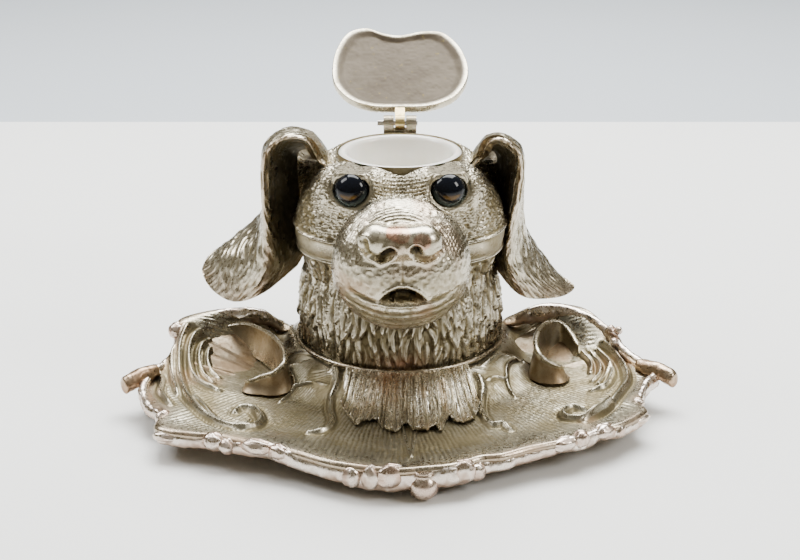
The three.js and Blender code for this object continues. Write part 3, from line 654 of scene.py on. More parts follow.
def head():
    """The head and neck: forms, then the eyes' sockets, then carving along the surface's normals."""
    rows, cols = 320, 430
    base, around, rise = cast_head(rows, cols)
    eye_zone = np.zeros((rows, cols))
    for side in (-1, 1):
        base, near = set_eye(base, side)
        eye_zone = np.maximum(eye_zone, near)
    normal = normals_of(base)
    x, y, z = base[..., 0], base[..., 1], base[..., 2]
    on_ball = bell(ellipsoid(base, *MUZZLE), 1.5) * ramp(-33, -38, y)
    on_ball = np.maximum(on_ball, ramp(-48, -52, y))
    face, black_shade = muzzle_relief(base)
    black_shade = black_shade * np.maximum(on_ball, ramp(-46, -52, y))
    strap, strap_flat = strap_relief(base)
    ruff_share = ramp(56, 47, z + 0.10 * (y + 30)) * (1 - on_ball) * ramp(NECK_FOOT, NECK_FOOT + 2.5, z)
    ruff = locks((around % (2 * np.pi)) * 36, z, 11)
    run = np.cross(normal, np.cross(stack(0 * x, 0 * x + 0.35, 0 * x - 1), normal))
    run = run / np.maximum(np.linalg.norm(run, axis=-1, keepdims=True), 1e-6)
    hair = coat(base, run, 21)
    below_top = ramp(HEAD_TOP + 1, HEAD_TOP - 1.2, z)
    rough = (1 - on_ball) * (1 - ruff_share) * (1 - strap_flat) * (1 - eye_zone) * below_top
    height = face * np.maximum(on_ball, ramp(-46, -52, y)) + strap * (1 - on_ball)
    height = height - 0.8 * bell(on_ball - 0.35, 0.25) * ramp(-20, -30, y) * ramp(80, 74, z)
    height = height + rough * 0.75 * hair + ruff_share * (ruff * 1.15 - 0.35)
    height = height + 0.12 * eye_zone * hair + brow_relief(base) * (1 - eye_zone) * (1 - on_ball)
    off_bore = ramp(WELL_BORE - 0.1, WELL_BORE + 1.6, np.hypot(x, y))
    height = height * off_bore * ramp(NECK_FOOT - 0.1, NECK_FOOT + 1.0, z)
    points = base + normal * height[..., None]
    points[..., 2] = np.clip(points[..., 2], NECK_FOOT, HEAD_TOP)
    hollow = hollows(height, 5, 0.9)
    # Painted shade, added to the hollow mark: under the chin, on the head's sides by the ears and in a ring
    # round the muzzle's ball. The muzzle's lower front is also made darker.
    shade = ramp(46, 36, z) * ramp(-24, -36, y) * ramp(-45, -38, y)
    shade = shade + 0.6 * ramp(30, 34, np.abs(x)) * ramp(-26, -10, y)
    shade = np.maximum(shade, 0.9 * ramp(25, 31, np.abs(x)) * ramp(30, 34, z))
    shade = np.maximum(shade, 0.9 * bell(on_ball - 0.35, 0.3) * ramp(-20, -30, y))
    shade = np.maximum(shade, 0.45 * ramp(-48, -56, y) * ramp(64, 58, z))
    hollow = np.clip(hollow + 0.30 * shade, 0, BLACK_SHADE_FROM)
    # The nostrils and mouth take their painted near-black shade.
    hollow = np.maximum(hollow, black_shade)
    copper_patch = np.maximum(bell(x + 0.5, 4.2) * bell(z - 74.0, 2.1),
                              bell(x - 6.6, 3.2) * bell(z - 72.2, 2.3))
    copper_patch = ramp(0.35, 0.6, copper_patch + 0.15 * noise(base, 2, 32)) * ramp(-54, -57, y)
    copper_patch = np.maximum(copper_patch, 0.45 * bell(x, 9) * bell(z - 19.5, 3) * ramp(0, -20, y))
    stain = 0.25 * on_ball * ramp(0.0, 0.6, noise(base, 7, 31))
    rubbed = np.clip(1.3 * copper_patch + stain, 0, 1)
    marks = {"hollow": hollow, "rubbed": rubbed}
    split = int(np.argmax(rise < RUFF_RISE))
    for name, part in (("hound_head", slice(0, split + 1)), ("hound_ruff", slice(split, rows))):
        skin(name, points[part], HEAD_PLATE, "base", ("head",), "silver_plate", closed=(False, True),
             flip=True, marks={k: v[part] for k, v in marks.items()})


def well():
    """The bore that the pot stands in, and the ring soldered in it that carries the pot's rim."""
    deep = POT_LOW[2] * 1000 - 3
    bore = [(WELL_BORE, HEAD_TOP), (WELL_BORE, deep), (0, deep)]
    turned_piece("head_well", rounded(bore, 0.3), HEAD_PLATE, "base", ("head",), "silver_plate", flip=True,
                 marks={"hollow": 0.75, "rubbed": 0.0})
    low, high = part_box("well_ring")
    outer, inner = (high[0] - low[0]) * 500, (high[0] - low[0]) * 500 - 1.55
    bottom, top = low[2] * 1000, high[2] * 1000
    ring = [(inner, bottom), (outer, bottom), (outer, top), (inner, top), (inner, bottom)]
    turned_piece("well_ring_turned", rounded(ring, 0.25), HEAD_PLATE, "base", ("well_ring",), "silver_plate",
                 marks={"hollow": 0.6, "rubbed": 0.1})


def ink_pot():
    """The porcelain pot: a rolled rim that rests on the ring, straight sides and a round bottom."""
    rim = (POT_HIGH[0] - POT_LOW[0]) * 500 + 0.3
    floor = POT_LOW[2] * 1000
    body = rim - 2.2
    outside = [(0, floor), (body - 9, floor), (body - 3, floor + 1.8), (body - 0.6, floor + 7),
               (body, POT_TOP - 2.2)]
    brim = [(rim, POT_TOP - 2.0), (rim, POT_TOP - 0.5), (rim - 0.8, POT_TOP), (rim - 2.3, POT_TOP),
            (rim - 3.1, POT_TOP - 1)]
    inside = [(rim - 4.7, POT_TOP - 8), (rim - 4.7, floor + 9), (rim - 7, floor + 4.4),
              (rim - 13, floor + 2.4), (0, floor + 2.4)]
    turned_piece("porcelain_pot", rounded(outside + brim + inside, 1.4, 7), PORCELAIN, "pot", ("ink_pot",),
                 "porcelain", sides=128)


def eyes():
    """Glass domes in the sockets. Each keeps how far out and how far down every place lies."""
    for word, side in (("left", -1), ("right", 1)):
        middle, facing = eye_frame(side)
        right = np.cross(facing, (0, 0, 1.0))
        right = -right / np.linalg.norm(right)
        up = np.cross(facing, right)
        up = up if up[2] > 0 else -up
        angle = np.linspace(0, np.pi / 2, 40)
        dome = np.stack([np.cos(angle) * EYE_RADIUS, np.sin(angle) * EYE_RADIUS * 0.8], 1)
        profile = np.vstack([[(0, -2.6), (EYE_RADIUS - 0.7, -2.6)], dome])
        turn = np.linspace(0, 2 * np.pi, 80, endpoint=False)
        out = profile[:, :1] / EYE_RADIUS + 0 * turn
        turned = np.stack([right, up, facing], 1)
        turned_piece(word + "_glass_eye", profile, EYE_GLASS, "base", (word + "_eye", word + "_iris"),
                     "eye_glass",
                     sides=80, centre=middle, matrix=turned, flip=np.linalg.det(turned) < 0,
                     marks={"from_middle": out, "below": -out * np.sin(turn)})


# ---- The ears ----

# Nets of points for each ear's outer face: rows go from the root over the fold and down to the tip, and
# each row starts in the recess beside the head and goes round the front edge to the back edge. The first
# number of a point is measured out from the middle.
LEFT_EAR = [
    [(23, -3, 76), (23, -8, 78), (23, -4, 79), (23, 6, 78), (23, 13, 76), (24, 17, 70)],
    [(26, -2, 78), (27, -9, 82), (27, -5, 87.5), (27, 3, 86), (27.5, 12, 80.5), (26, 19, 73)],
    [(30, -3, 84), (30.5, -15, 90.5), (31, -7, 92), (32, 2, 90), (33.5, 11, 84), (27, 20, 74)],
    [(33, -2, 84), (38, -16, 91.5), (39, -7, 92.5), (39.5, 2, 90), (39.5, 12, 83.5), (29, 21, 72)],
    [(35, 4, 80), (44, -15.5, 85.5), (46, -6, 85), (46.5, 4, 83), (44.5, 14, 80.5), (30, 21.5, 68)],
    [(35, 6, 70), (45, -14, 72), (46, -4, 69.5), (46.5, 7, 66), (44.5, 17, 64), (30, 22, 62)],
    [(34, 7, 58), (44.5, -13.5, 59.5), (48, -3, 58.5), (50, 8, 56.5), (48, 18, 56), (37, 22, 57)],
    [(33, 7, 46), (44, -13.5, 47), (53.5, -8, 46.5), (61.5, 0, 46), (65.5, 7, 44), (64.5, 10, 44.5)],
    [(39, -3, 37), (48, -13, 35), (57.5, -10, 32), (65.5, -3, 33.5), (70, 3, 37.5), (70, 6, 39)],
]
RIGHT_EAR = [
    [(23, -3, 76), (23, -8, 78), (23, -4, 79), (23, 6, 78), (23, 13, 76), (24, 17, 70)],
    [(26, -2, 78), (27, -9, 83), (27, -5, 87), (27, 3, 85), (27.5, 12, 80), (26, 19, 72)],
    [(28, -3, 84), (29, -15, 90), (29.5, -7, 90.5), (30, 2, 88), (31, 11, 82.5), (27, 20, 74)],
    [(30, -2, 84), (33.5, -16, 91), (34.5, -7, 91), (35, 2, 88), (35, 12, 82), (29, 21, 72)],
    [(33, 4, 80), (39, -15.5, 85.5), (41, -6, 85), (41.5, 4, 82.5), (39, 14, 79.5), (30, 21.5, 68)],
    [(33.5, 6, 70), (39, -14, 73.5), (42, -4, 71.5), (42, 7, 68), (40, 17, 64), (30, 22, 62)],
    [(33, 7, 58), (37, -14, 61.5), (42, -3, 59), (43.5, 8, 55.5), (42.5, 18, 53), (37, 22, 55)],
    [(32, 7, 46), (36, -14, 49), (43, -9, 46.5), (50, -1, 41.5), (55.5, 6, 37), (54.5, 9, 37.5)],
    [(34, -3, 37), (41, -13, 35), (48.5, -10, 33), (56.5, -5, 32), (62, 2, 32), (62, 5, 33)],
]
EAR_THICK = 2.2


def spline_weights(count, at):
    """Each place's share of each of count knots on a Catmull-Rom spline, as a matrix."""
    base = np.eye(count)
    padded = np.vstack([2 * base[0] - base[1], base, 2 * base[-1] - base[-2]])
    t = np.clip(at, 0, 1) * (count - 1)
    i = np.minimum(t.astype(int), count - 2)
    u = (t - i)[:, None]
    a, b, c, d = padded[i], padded[i + 1], padded[i + 2], padded[i + 3]
    return 0.5 * (2 * b + (c - a) * u + (2 * a - 5 * b + 4 * c - d) * u**2 + (3 * b - 3 * c + d - a) * u**3)


def ear(word, net, side):
    """An ear: a smooth sheet over its net, with a rounded edge, long hair running down its outer face and
    fine hair inside. Each row of points goes out along the outer face and back along the inner one."""
    rows, half = 300, 130
    u = np.linspace(0, 1, rows)
    v = np.linspace(0, 1, half)
    knots = np.asarray(net, float) * np.array([side, 1, 1])
    reach = 1 - 0.055 * np.abs(2 * v - 1) ** 3.5
    along = spline_weights(len(net), (u[:, None] * reach).ravel()).reshape(rows, half, len(net))
    sheet = np.einsum("abi,bj,ijk->abk", along, spline_weights(len(net[0]), v), knots)
    du, dv = np.gradient(sheet, axis=0), np.gradient(sheet, axis=1)
    inward = np.cross(dv, du) * side * -1
    inward = inward / np.maximum(np.linalg.norm(inward, axis=-1, keepdims=True), 1e-9)
    inward = np.where((inward[rows // 2, half // 2] @ np.array([-side, 0, 0])) > 0, inward, -inward)
    length = np.cumsum(np.linalg.norm(du, axis=-1), axis=0)
    width = np.cumsum(np.linalg.norm(dv, axis=-1), axis=1)
    edge = np.sqrt(np.clip(1 - np.abs(2 * v - 1) ** 8, 0, 1)) * np.sqrt(np.clip(1 - u**14, 0, 1))[:, None]
    sway = 1.4 * np.sin(length / 7 + 0.15 * width) + 1.2 * noise(stack(length, width, 0 * width), 7, 41)
    strand = noise(stack((width + sway) / 0.8, length / 3.4, 0 * width), 1, 42)
    strand = strand + 0.6 * noise(stack((width + sway) / 0.5, length / 2.2, 0 * width), 1, 43)
    wave = noise(stack((width + sway) / 2.2, length / 5, 0 * width), 1, 44)
    lower = ramp(0.30, 0.48, u)[:, None]
    rim = ramp(0.0, 0.05, v) * ramp(1, 0.95, v)
    hair = (0.30 * strand + 0.16 * wave) * (0.45 + 0.55 * lower) * rim
    inside = 0.14 * strand * rim
    outer = sheet - inward * (hair * edge)[..., None]
    inner = sheet + inward * (EAR_THICK * edge - inside)[..., None]
    points = np.concatenate([outer, inner[:, ::-1]], axis=1)
    hollow = np.concatenate([hollows(hair, 4, 0.5), 0.62 + 0 * hair], axis=1)
    # The inner face is painted darker towards the root, as shade between the ear and the head.
    deep = ramp(0.42, 0.1, u)[:, None]
    hollow[:, half:] = 0.55 + 0.25 * deep
    # Painted shade on the outer face's recess beside the head.
    recess = ramp(0.24, 0.06, v)
    hollow[:, :half] = np.clip(hollow[:, :half] + 0.42 * recess, 0, 0.83)
    rubbed = np.concatenate([0.2 * ramp(0.9, 1, u)[:, None] + 0.25 * bell(v - 0.22, 0.03), 0.1 + 0 * hair],
                            axis=1)
    skin(word + "_hanging_ear", points, EAR_PLATE, "base", (word + "_ear",), "silver_plate",
         closed=(False, True),
         flip=side < 0, marks={"hollow": hollow, "rubbed": np.broadcast_to(rubbed, hollow.shape)})


# ---- The lid and its hinge ----

# The kidney plan of the lid, drawn shut and reaching forward from the hinge line.
LID_PLAN = [
    (0, -6), (10.7, -6.6), (19.3, -11), (24, -19), (24.8, -28), (21.9, -38), (16, -45.5), (8.6, -46.2),
    (0, -44), (-6.4, -45.2), (-12.8, -48), (-19.3, -45.5), (-23.5, -36.5), (-24.8, -26), (-23.5, -17.5),
    (-18.2, -10), (-10.2, -6.4),
]
LID_UNDERSIDE = -1.9
LID_WALL = 1.8
LID_RISE = 6.2


def opened(points):
    """Points drawn with the lid shut about its pivot, turned open and moved to the hinge."""
    cos, sin = math.cos(-LID_OPEN), math.sin(-LID_OPEN)
    x, y, z = points[..., 0], points[..., 1], points[..., 2]
    return stack(x, cos * y - sin * z, sin * y + cos * z) + PIVOT


def lid():
    """The skull: rings of the kidney plan drawn in towards its middle, domed outside with hair and a
    furrow, and dished inside within a narrow rolled lip."""
    around = 300
    plan = curve_through(LID_PLAN, around, closed=True)
    middle = np.array([0, -26.0])
    under = np.concatenate([np.linspace(0.0, 0.86, 60), np.linspace(0.87, 0.985, 14)])
    lip = np.linspace(0, np.pi, 14)[1:-1]
    over = np.linspace(0.985, 0.0, 90)
    share = np.concatenate([under, 0.985 + 0.015 * np.sin(lip), over])[:, None]
    inside = LID_UNDERSIDE + 1.0 * ramp(0.93, 0.80, under)
    dome = LID_UNDERSIDE + LID_WALL + LID_RISE * np.sqrt(np.clip(1 - over**2.2, 0, 1))
    edge_low, edge_high = inside[-1], dome[0]
    edge = (edge_low + edge_high) / 2 - (edge_high - edge_low) / 2 * np.cos(lip)
    level = np.concatenate([inside, edge, dome])[:, None]
    x = middle[0] + (plan[:, 0] - middle[0]) * share
    y = middle[1] + (plan[:, 1] - middle[1]) * share
    z = level + 0 * x
    outside = np.concatenate([0 * under, 0 * lip, ramp(0, 0.1, 1 - over)])[:, None]
    inner = np.concatenate([ramp(0.985, 0.9, under), 0 * lip, 0 * over])[:, None]
    hair = 0.5 * noise(stack(x / 1.1, y / 6 + 0.3 * np.sin(x / 4), 0 * x), 1, 51)
    hair = hair + 0.3 * noise(stack(x / 0.6, y / 4, 0 * x), 1, 52)
    furrow = -1.4 * bell(x, 2.2) * ramp(-10, -20, y)
    dents = 0.12 * noise(stack(x, y, z), 3.2, 53) + 0.06 * noise(stack(x, y, z), 1.1, 54)
    height = outside * (hair + furrow) - inner * dents
    points = stack(x, y, z + height)
    hollow = np.where(outside > 0, hollows(outside * hair, 4, 0.5),
                      0.5 + 0.25 * inner * ramp(-0.3, 0.7, dents * 4))
    rubbed = 0.1 * outside
    skin("skull_lid", opened(points), LID_PLATE, "lid", ("lid",), "worn_silver", closed=(False, True),
         weld=True, flip=True, marks={"hollow": hollow, "rubbed": rubbed, "lining": inner})


def hinge_metal():
    """The bracket, pin and tongue keep their own shapes and take their metals."""
    for node, material in (("hinge_bracket", HINGE_PLATE), ("hinge_pin", STEEL), ("lid_tongue", BRASS)):
        repaint(node, material)


def repaint(node, material):
    """Gives a carried-over solid its finish."""
    mesh = frame["nodes"][node].data
    mesh.materials.clear()
    mesh.materials.append(material)


def fasteners():
    """The screws and washers under the head keep their own shapes and take their steel."""
    for node in frame["nodes"]:
        if node.startswith(("base_screw", "base_washer")):
            repaint(node, STEEL)


# ---- The tray ----

# All of the tray's points are (x, y) or (x, y, height) in the tray's own frame, which is turned a little
# under the head. The outline runs from the front middle round the right, the back and the left.
TRAY_OUTLINE = [
    (0, -92), (6.5, -91.5), (11.5, -90), (18, -86.5), (25, -85.5), (34, -81.5), (43, -78.5), (51, -75.5),
    (58, -70.5), (66, -67.5), (76, -58), (74.5, -52), (78, -45.5), (81.5, -38.5), (86, -33), (82, -25),
    (77, -15), (72, -4), (66, 4), (56, 9), (45, 9), (38, 18), (24, 30), (10, 33), (0, 36), (-10, 33),
    (-24, 30), (-38, 19), (-46, 11), (-56, 12), (-68, 10), (-78, 4), (-78, -6), (-84, -14.5), (-88.5, -22),
    (-89.5, -30), (-87, -39), (-81.5, -46), (-83, -56), (-78, -61), (-70, -64), (-62, -66), (-54, -70.5),
    (-45, -74.5), (-38, -79), (-28, -86), (-18, -90), (-8, -92.5),
]
TRAY_MIDDLE = np.array([0.0, -30.0])
FIELD = 9.6
TRAY_WALL = 2.4
CRESTS = {
    "left": [(-66, 9.5, 15.5), (-62.4, 6.5, 18), (-53.9, 0.8, 21), (-46.3, -10.2, 22), (-41.6, -22.5, 22),
             (-41.0, -30.7, 21), (-44.4, -34.1, 18.5), (-48.9, -33.0, 16.5), (-52.5, -32.0, 14.5),
             (-54.5, -29.5, 13)],
    "right": [(61.5, -14.0, 15), (59.7, -8.8, 18), (56.1, -5.4, 21), (49.8, -9.8, 22), (45.6, -19.4, 22),
              (44.3, -28.2, 21), (46.6, -31.8, 18.5), (50.4, -32.4, 16.5), (52.8, -30.2, 15),
              (53.2, -27.5, 13)],
}
# Raised lines on the tray: the points of each, its half width and its height.
TRAY_LINES = [
    ([(-72, 2), (-76, -6), (-77, -14), (-76.5, -22), (-74, -33.5), (-68.5, -46), (-61, -56), (-55.5, -60),
      (-51, -58.5), (-49, -53.5), (-50, -47.5), (-52.5, -44), (-56, -43.5), (-57.5, -46.5)], 0.95, 2.0),
    ([(-72, -33), (-69, -39), (-64.5, -48.5), (-59.5, -54.5), (-54.5, -56), (-52, -52.5)], 0.6, 1.1),
    ([(-69, 0), (-73.5, -10), (-72.5, -19.5), (-68.5, -26.5), (-63.5, -30.5)], 0.9, 1.9),
    ([(-66, -1), (-70, -10), (-69, -18), (-65.5, -24)], 0.7, 1.6),
    ([(-64, -1), (-67.3, -9), (-66.5, -15), (-63.5, -20)], 0.6, 1.4),
    ([(-75, 0), (-79, -8), (-79.5, -16), (-78.5, -24.5), (-76.5, -34)], 0.65, 1.4),
    ([(-84, -17), (-82.5, -24), (-82.5, -32), (-78.5, -42)], 0.7, 1.4),
    ([(69, -11), (73.5, -17), (75, -24), (75, -31), (73.5, -37.5), (70, -44), (64.5, -53), (60, -58.5),
      (54, -63.5)], 0.95, 2.0),
    ([(65, -51), (61.5, -57), (56.5, -61), (51.5, -62), (48.5, -59.5), (49, -55.5), (52, -53), (56, -53.5)],
     0.95, 2.2),
    ([(67, -14), (70.5, -21), (70.5, -28), (68.5, -34), (65.5, -38.5), (61.5, -40)], 0.9, 1.9),
    ([(65, -14), (67.5, -22), (66, -29), (63, -32.5)], 0.7, 1.6),
    ([(62.5, -13), (65, -20), (63.5, -26.5)], 0.6, 1.4),
    ([(64, -36), (67.5, -30.5), (70.5, -24)], 0.6, 1.3),
    ([(-25.5, -26), (-23.8, -31), (-24.3, -36.5), (-26, -41), (-26.5, -47.5), (-26, -54.5), (-27.5, -60.5),
      (-30.5, -63), (-34, -63)], 0.75, 1.6),
    ([(23, -33), (24.5, -39), (23.5, -44.5), (22.6, -51.5), (23, -58), (25, -62.5), (28, -62.5), (30, -66)],
     0.75, 1.6),
    ([(-41, -9), (-35.5, -12.5), (-29.5, -18.5), (-24.5, -25)], 0.45, 0.8),
    ([(-42, -19), (-39.5, -24), (-38, -30.5), (-40, -35.5), (-43, -40)], 0.45, 0.8),
    ([(-38, -31.5), (-33, -32), (-27.5, -35.5)], 0.45, 0.8),
    ([(41, -14), (34, -19), (26, -29)], 0.45, 0.8),
    ([(39.5, -21.5), (35.8, -24.8), (34, -29), (33.5, -36), (35, -42.5)], 0.45, 0.8),
    ([(33.5, -33.5), (29.5, -33.8), (25.5, -37)], 0.45, 0.8),
    ([(-4, -55), (-4, -62), (-3.6, -72), (-3, -83)], 0.35, 0.6),
    ([(1.8, -55), (0.6, -62), (-1.4, -72.5), (-3, -83)], 0.35, 0.6),
]


def to_path(x, y, path):
    """Distance in plan from a smooth line through the points, and the share of its length reached."""
    line = curve_through(path, 60)
    best = np.full(x.shape, 1e9)
    along = np.zeros(x.shape)
    near = (np.abs(x - line[:, 0].mean()) < np.ptp(line[:, 0]) / 2 + 14)
    near &= np.abs(y - line[:, 1].mean()) < np.ptp(line[:, 1]) / 2 + 14
    gap, share = to_line(x[near], y[near], line[:, :2])
    best[near] = gap
    along[near] = share
    return best, along


def tray_height(x, y, share):
    """Height of the tray's upper face, and how bare of engraving each place is."""
    from_neck = np.hypot(x, y)
    foot = np.where(y < -20, 20, 10)
    plinth = 6.4 * ramp(1, 0, (from_neck - 35) / foot)
    back = ramp(-22, 4, y) * ramp(38, 56, np.abs(x))
    rim = (1.6 + 11.5 * back) * ramp(0.74, 0.97, share)
    droop = -2.0 * ramp(80, 92, np.abs(x))
    off = np.hypot(np.abs(x) - np.where(x < 0, 57.0, 55.0), (y + np.where(x < 0, 17.0, 28.0)) * 0.85)
    bowl = 0.9 * ramp(7, 17, off) * ramp(30, 18, off) * ramp(-42, -25, y)
    height = FIELD + plinth + rim + droop + bowl
    bare = np.zeros(x.shape)
    for path, half, rise in TRAY_LINES:
        gap, along = to_path(x, y, path)
        taper = ramp(0, 0.06, along) * (0.55 + 0.45 * ramp(1, 0.9, along))
        wide = half * (0.7 + 0.3 * taper)
        crown = bell(gap, wide) + 0.25 * bell(gap, 2.6 * wide)
        height = height + 0.8 * rise * taper * crown
        height = height - 0.22 * rise * bell(gap - 2.4 * wide, 0.8 * wide) * taper
        bare = np.maximum(bare, ramp(wide + 1.2, wide + 0.3, gap))
    for path in CRESTS.values():
        gap, _ = to_path(x, y, path)
        bare = np.maximum(bare, ramp(3.5, 1.5, gap))
    return height, bare


def engraving(x, y, bare, share):
    """Fine grooves fanning out from the neck, close and a little uneven, that fade under the ornament."""
    turn = np.arctan2(x, -(y - 6))
    wander = 0.012 * noise(stack(x, y, 0 * x), 16, 61) + 0.003 * noise(stack(x, y, 0 * x), 3, 62)
    groove = np.exp(-((np.cos((turn + wander) * 165) / 0.55) ** 2))
    strength = ramp(0.97, 0.90, share) * (1 - bare) * ramp(37, 41, np.hypot(x, y))
    strength = strength * (0.55 + 0.45 * ramp(-0.5, 0.4, noise(stack(x, y, 0 * x), 9, 63)))
    return strength * (-0.24 * groove + 0.07 * noise(stack(x, y, 0 * x), 0.9, 64))


def tray():
    """The tray in four sectors of one sheet: rays from its middle out to the rim over the upper face, and
    back along the lower one. The last places of each ray meet in a rounded edge."""
    outline = curve_through(TRAY_OUTLINE, 1200, closed=True)
    shares = np.concatenate([np.linspace(0.02, 0.36, 30), np.linspace(0.365, 0.985, 240),
                             [0.992, 0.997, 1.0]])
    under = np.array([0.997, 0.985, 0.9, 0.6, 0.3, 0.02])
    out = outline - TRAY_MIDDLE
    x = TRAY_MIDDLE[0] + out[None, :, 0] * shares[:, None]
    y = TRAY_MIDDLE[1] + out[None, :, 1] * shares[:, None]
    share = shares[:, None] + 0 * x
    smooth, bare = tray_height(x, y, share)
    cut = engraving(x, y, bare, share)
    edge = 1.1 * (1 - np.sqrt(np.clip(1 - ramp(0.975, 1.0, share) ** 2, 0, 1)))
    top = stack(x, y, smooth + cut - edge)
    ux = TRAY_MIDDLE[0] + out[None, :, 0] * under[:, None]
    uy = TRAY_MIDDLE[1] + out[None, :, 1] * under[:, None]
    below, _ = tray_height(ux, uy, under[:, None] + 0 * ux)
    bottom = stack(ux, uy, np.minimum(below, FIELD + 12 * ramp(0.5, 1, under)[:, None]) - TRAY_WALL)
    points = np.concatenate([top, bottom])
    relief = smooth - blurred(smooth, 9) + cut
    hollow = np.clip(0.5 - relief / 1.3, 0, 1)
    # Painted shade over the front half of the field, inside the rim band.
    painted_shade = 0.16 * ramp(0.93, 0.75, share) * ramp(0, -25, y)
    dirt = noise(stack(x, y, 0 * x), 14, 65)
    hollow = np.clip(0.10 + 0.85 * hollow + painted_shade + 0.08 * dirt, 0, 0.83)
    worn = 0.14 * ramp(0.35, 0.8, noise(stack(x, y, 0 * x), 11, 66))
    rubbed = 0.30 * ramp(0.93, 1.0, share) + worn * ramp(30, 50, np.abs(x))
    marks = {"hollow": np.concatenate([hollow, 0.7 + 0 * ux]),
             "rubbed": np.concatenate([rubbed, 0.2 + 0 * ux])}
    quarter = outline.shape[0] // 4
    for i, word in enumerate(("front_right", "back_right", "back_left", "front_left")):
        turn = np.arange(i * quarter, (i + 1) * quarter + 1) % outline.shape[0]
        skin("tray_" + word, points[:, turn], TRAY_PLATE, "base", ("tray",), "silver_plate", turned=True,
             marks={k: v[:, turn] for k, v in marks.items()})


def swept(name, path, widths, heights, material, nodes, body="base", slot="silver_plate", steps=200,
          sides=32,
          closed=False, power=2.0, lean=0.0, texture_depth=0.0, seed=0, rubbed=0.2, hollow=0.5, flip=False):
    """A bar along a path: an upright rounded section whose half width and half height vary along it.
    power is the section's squareness, 2 for an ellipse, and lean tips its top outwards."""
    line = curve_through(path, steps, closed)
    place = np.linspace(0, 1, steps)
    wide = np.interp(place, np.linspace(0, 1, len(widths)), widths)
    tall = np.interp(place, np.linspace(0, 1, len(heights)), heights)
    if closed:
        forward = np.roll(line, -1, axis=0) - np.roll(line, 1, axis=0)
    else:
        forward = np.gradient(line, axis=0)
        end = np.sqrt(np.clip(1 - (2 * place - 1) ** 26, 0, 1))
        wide, tall = wide * end, tall * end
    side = stack(forward[:, 1], -forward[:, 0], 0 * forward[:, 0])
    side = side / np.maximum(np.linalg.norm(side, axis=1, keepdims=True), 1e-9)
    turn = np.linspace(0, 2 * np.pi, sides, endpoint=False)
    a = np.sign(np.cos(turn)) * np.abs(np.cos(turn)) ** (2 / power)
    b = np.sign(np.sin(turn)) * np.abs(np.sin(turn)) ** (2 / power)
    offset_side = wide[:, None] * a + lean * tall[:, None] * b
    points = line[:, None, :] + side[:, None, :] * offset_side[..., None]
    points[..., 2] += tall[:, None] * b
    if texture_depth:
        centre = line[:, None, :]
        away = points - centre
        away = away / np.maximum(np.linalg.norm(away, axis=-1, keepdims=True), 1e-6)
        points = points + away * (texture_depth * noise(points, 2.3, seed))[..., None]
    # Painted shade towards the underside of the bar.
    marks = {"hollow": hollow + 0.35 * ramp(0.1, -0.9, b) + 0 * offset_side,
             "rubbed": rubbed + 0 * offset_side}
    return skin(name, points, material, body, nodes, slot, closed=(closed, True), turned=True, marks=marks,
                flip=flip, weld=not closed)


def crests():
    """The two tall C-scrolls: thin upright walls with a bright rolled top, browner outside, that curl round
    and hook inwards at the front. The wall stands on the curve and widens towards its foot."""
    for word, path in CRESTS.items():
        line = curve_through(path, 260)
        forward = np.gradient(line, axis=0)
        outward = stack(-forward[:, 1], forward[:, 0], 0 * forward[:, 0])
        outward = outward / np.linalg.norm(outward, axis=1, keepdims=True)
        if word == "right":
            outward = -outward
        place = np.linspace(0, 1, 260)[:, None]
        t = np.linspace(0, 1, 34)[None, :]
        foot = FIELD + 1.0 + 0 * place
        top = line[:, 2:3]
        flare = (1.0 + 1.4 * ramp(0.5, 0.8, place)) * (1 - t) ** 2.0 + 0.3 * t**8
        end = np.sqrt(np.clip(1 - (2 * place - 1) ** 20, 0, 1))
        outer = line[:, None, :] + outward[:, None, :] * ((0.55 + flare) * end)[..., None]
        outer[..., 2] = foot + (top - 0.45 - foot) * t
        lip_turn = np.linspace(0, np.pi, 12)[None, 1:-1]
        lip = line[:, None, :] + outward[:, None, :] * (0.95 * np.cos(lip_turn) * end)[..., None]
        lip[..., 2] = top - 0.45 + 0.8 * np.sin(lip_turn)
        inner = line[:, None, :] - outward[:, None, :] * ((0.55 + 1.5 * (1 - t) ** 2.2) * end)[..., None]
        inner[..., 2] = foot + (top - 0.45 - foot) * t
        points = np.concatenate([outer, lip, inner[:, ::-1]], axis=1)
        points = points + outward[:, None, :] * (0.12 * noise(points, 2.5, 71))[..., None]
        brown = ramp(0.97, 0.75, t) * ramp(0.25, 0.5, place)
        # The inner face is painted darker towards its foot, as shade.
        hollow = np.concatenate([0.5 + 0.2 * brown, 0.3 + 0 * lip[..., 0], 0.5 + 0.2 * (1 - t) + 0 * place],
                                axis=1)
        rubbed = np.concatenate([0.32 * brown, 0 * lip[..., 0], 0 * inner[..., 0]], axis=1)
        skin(word + "_c_scroll", points, CREST_PLATE, "base", ("tray",), "silver_plate",
             closed=(False, True),
             turned=True, weld=True, flip=word == "left", marks={"hollow": hollow, "rubbed": rubbed})


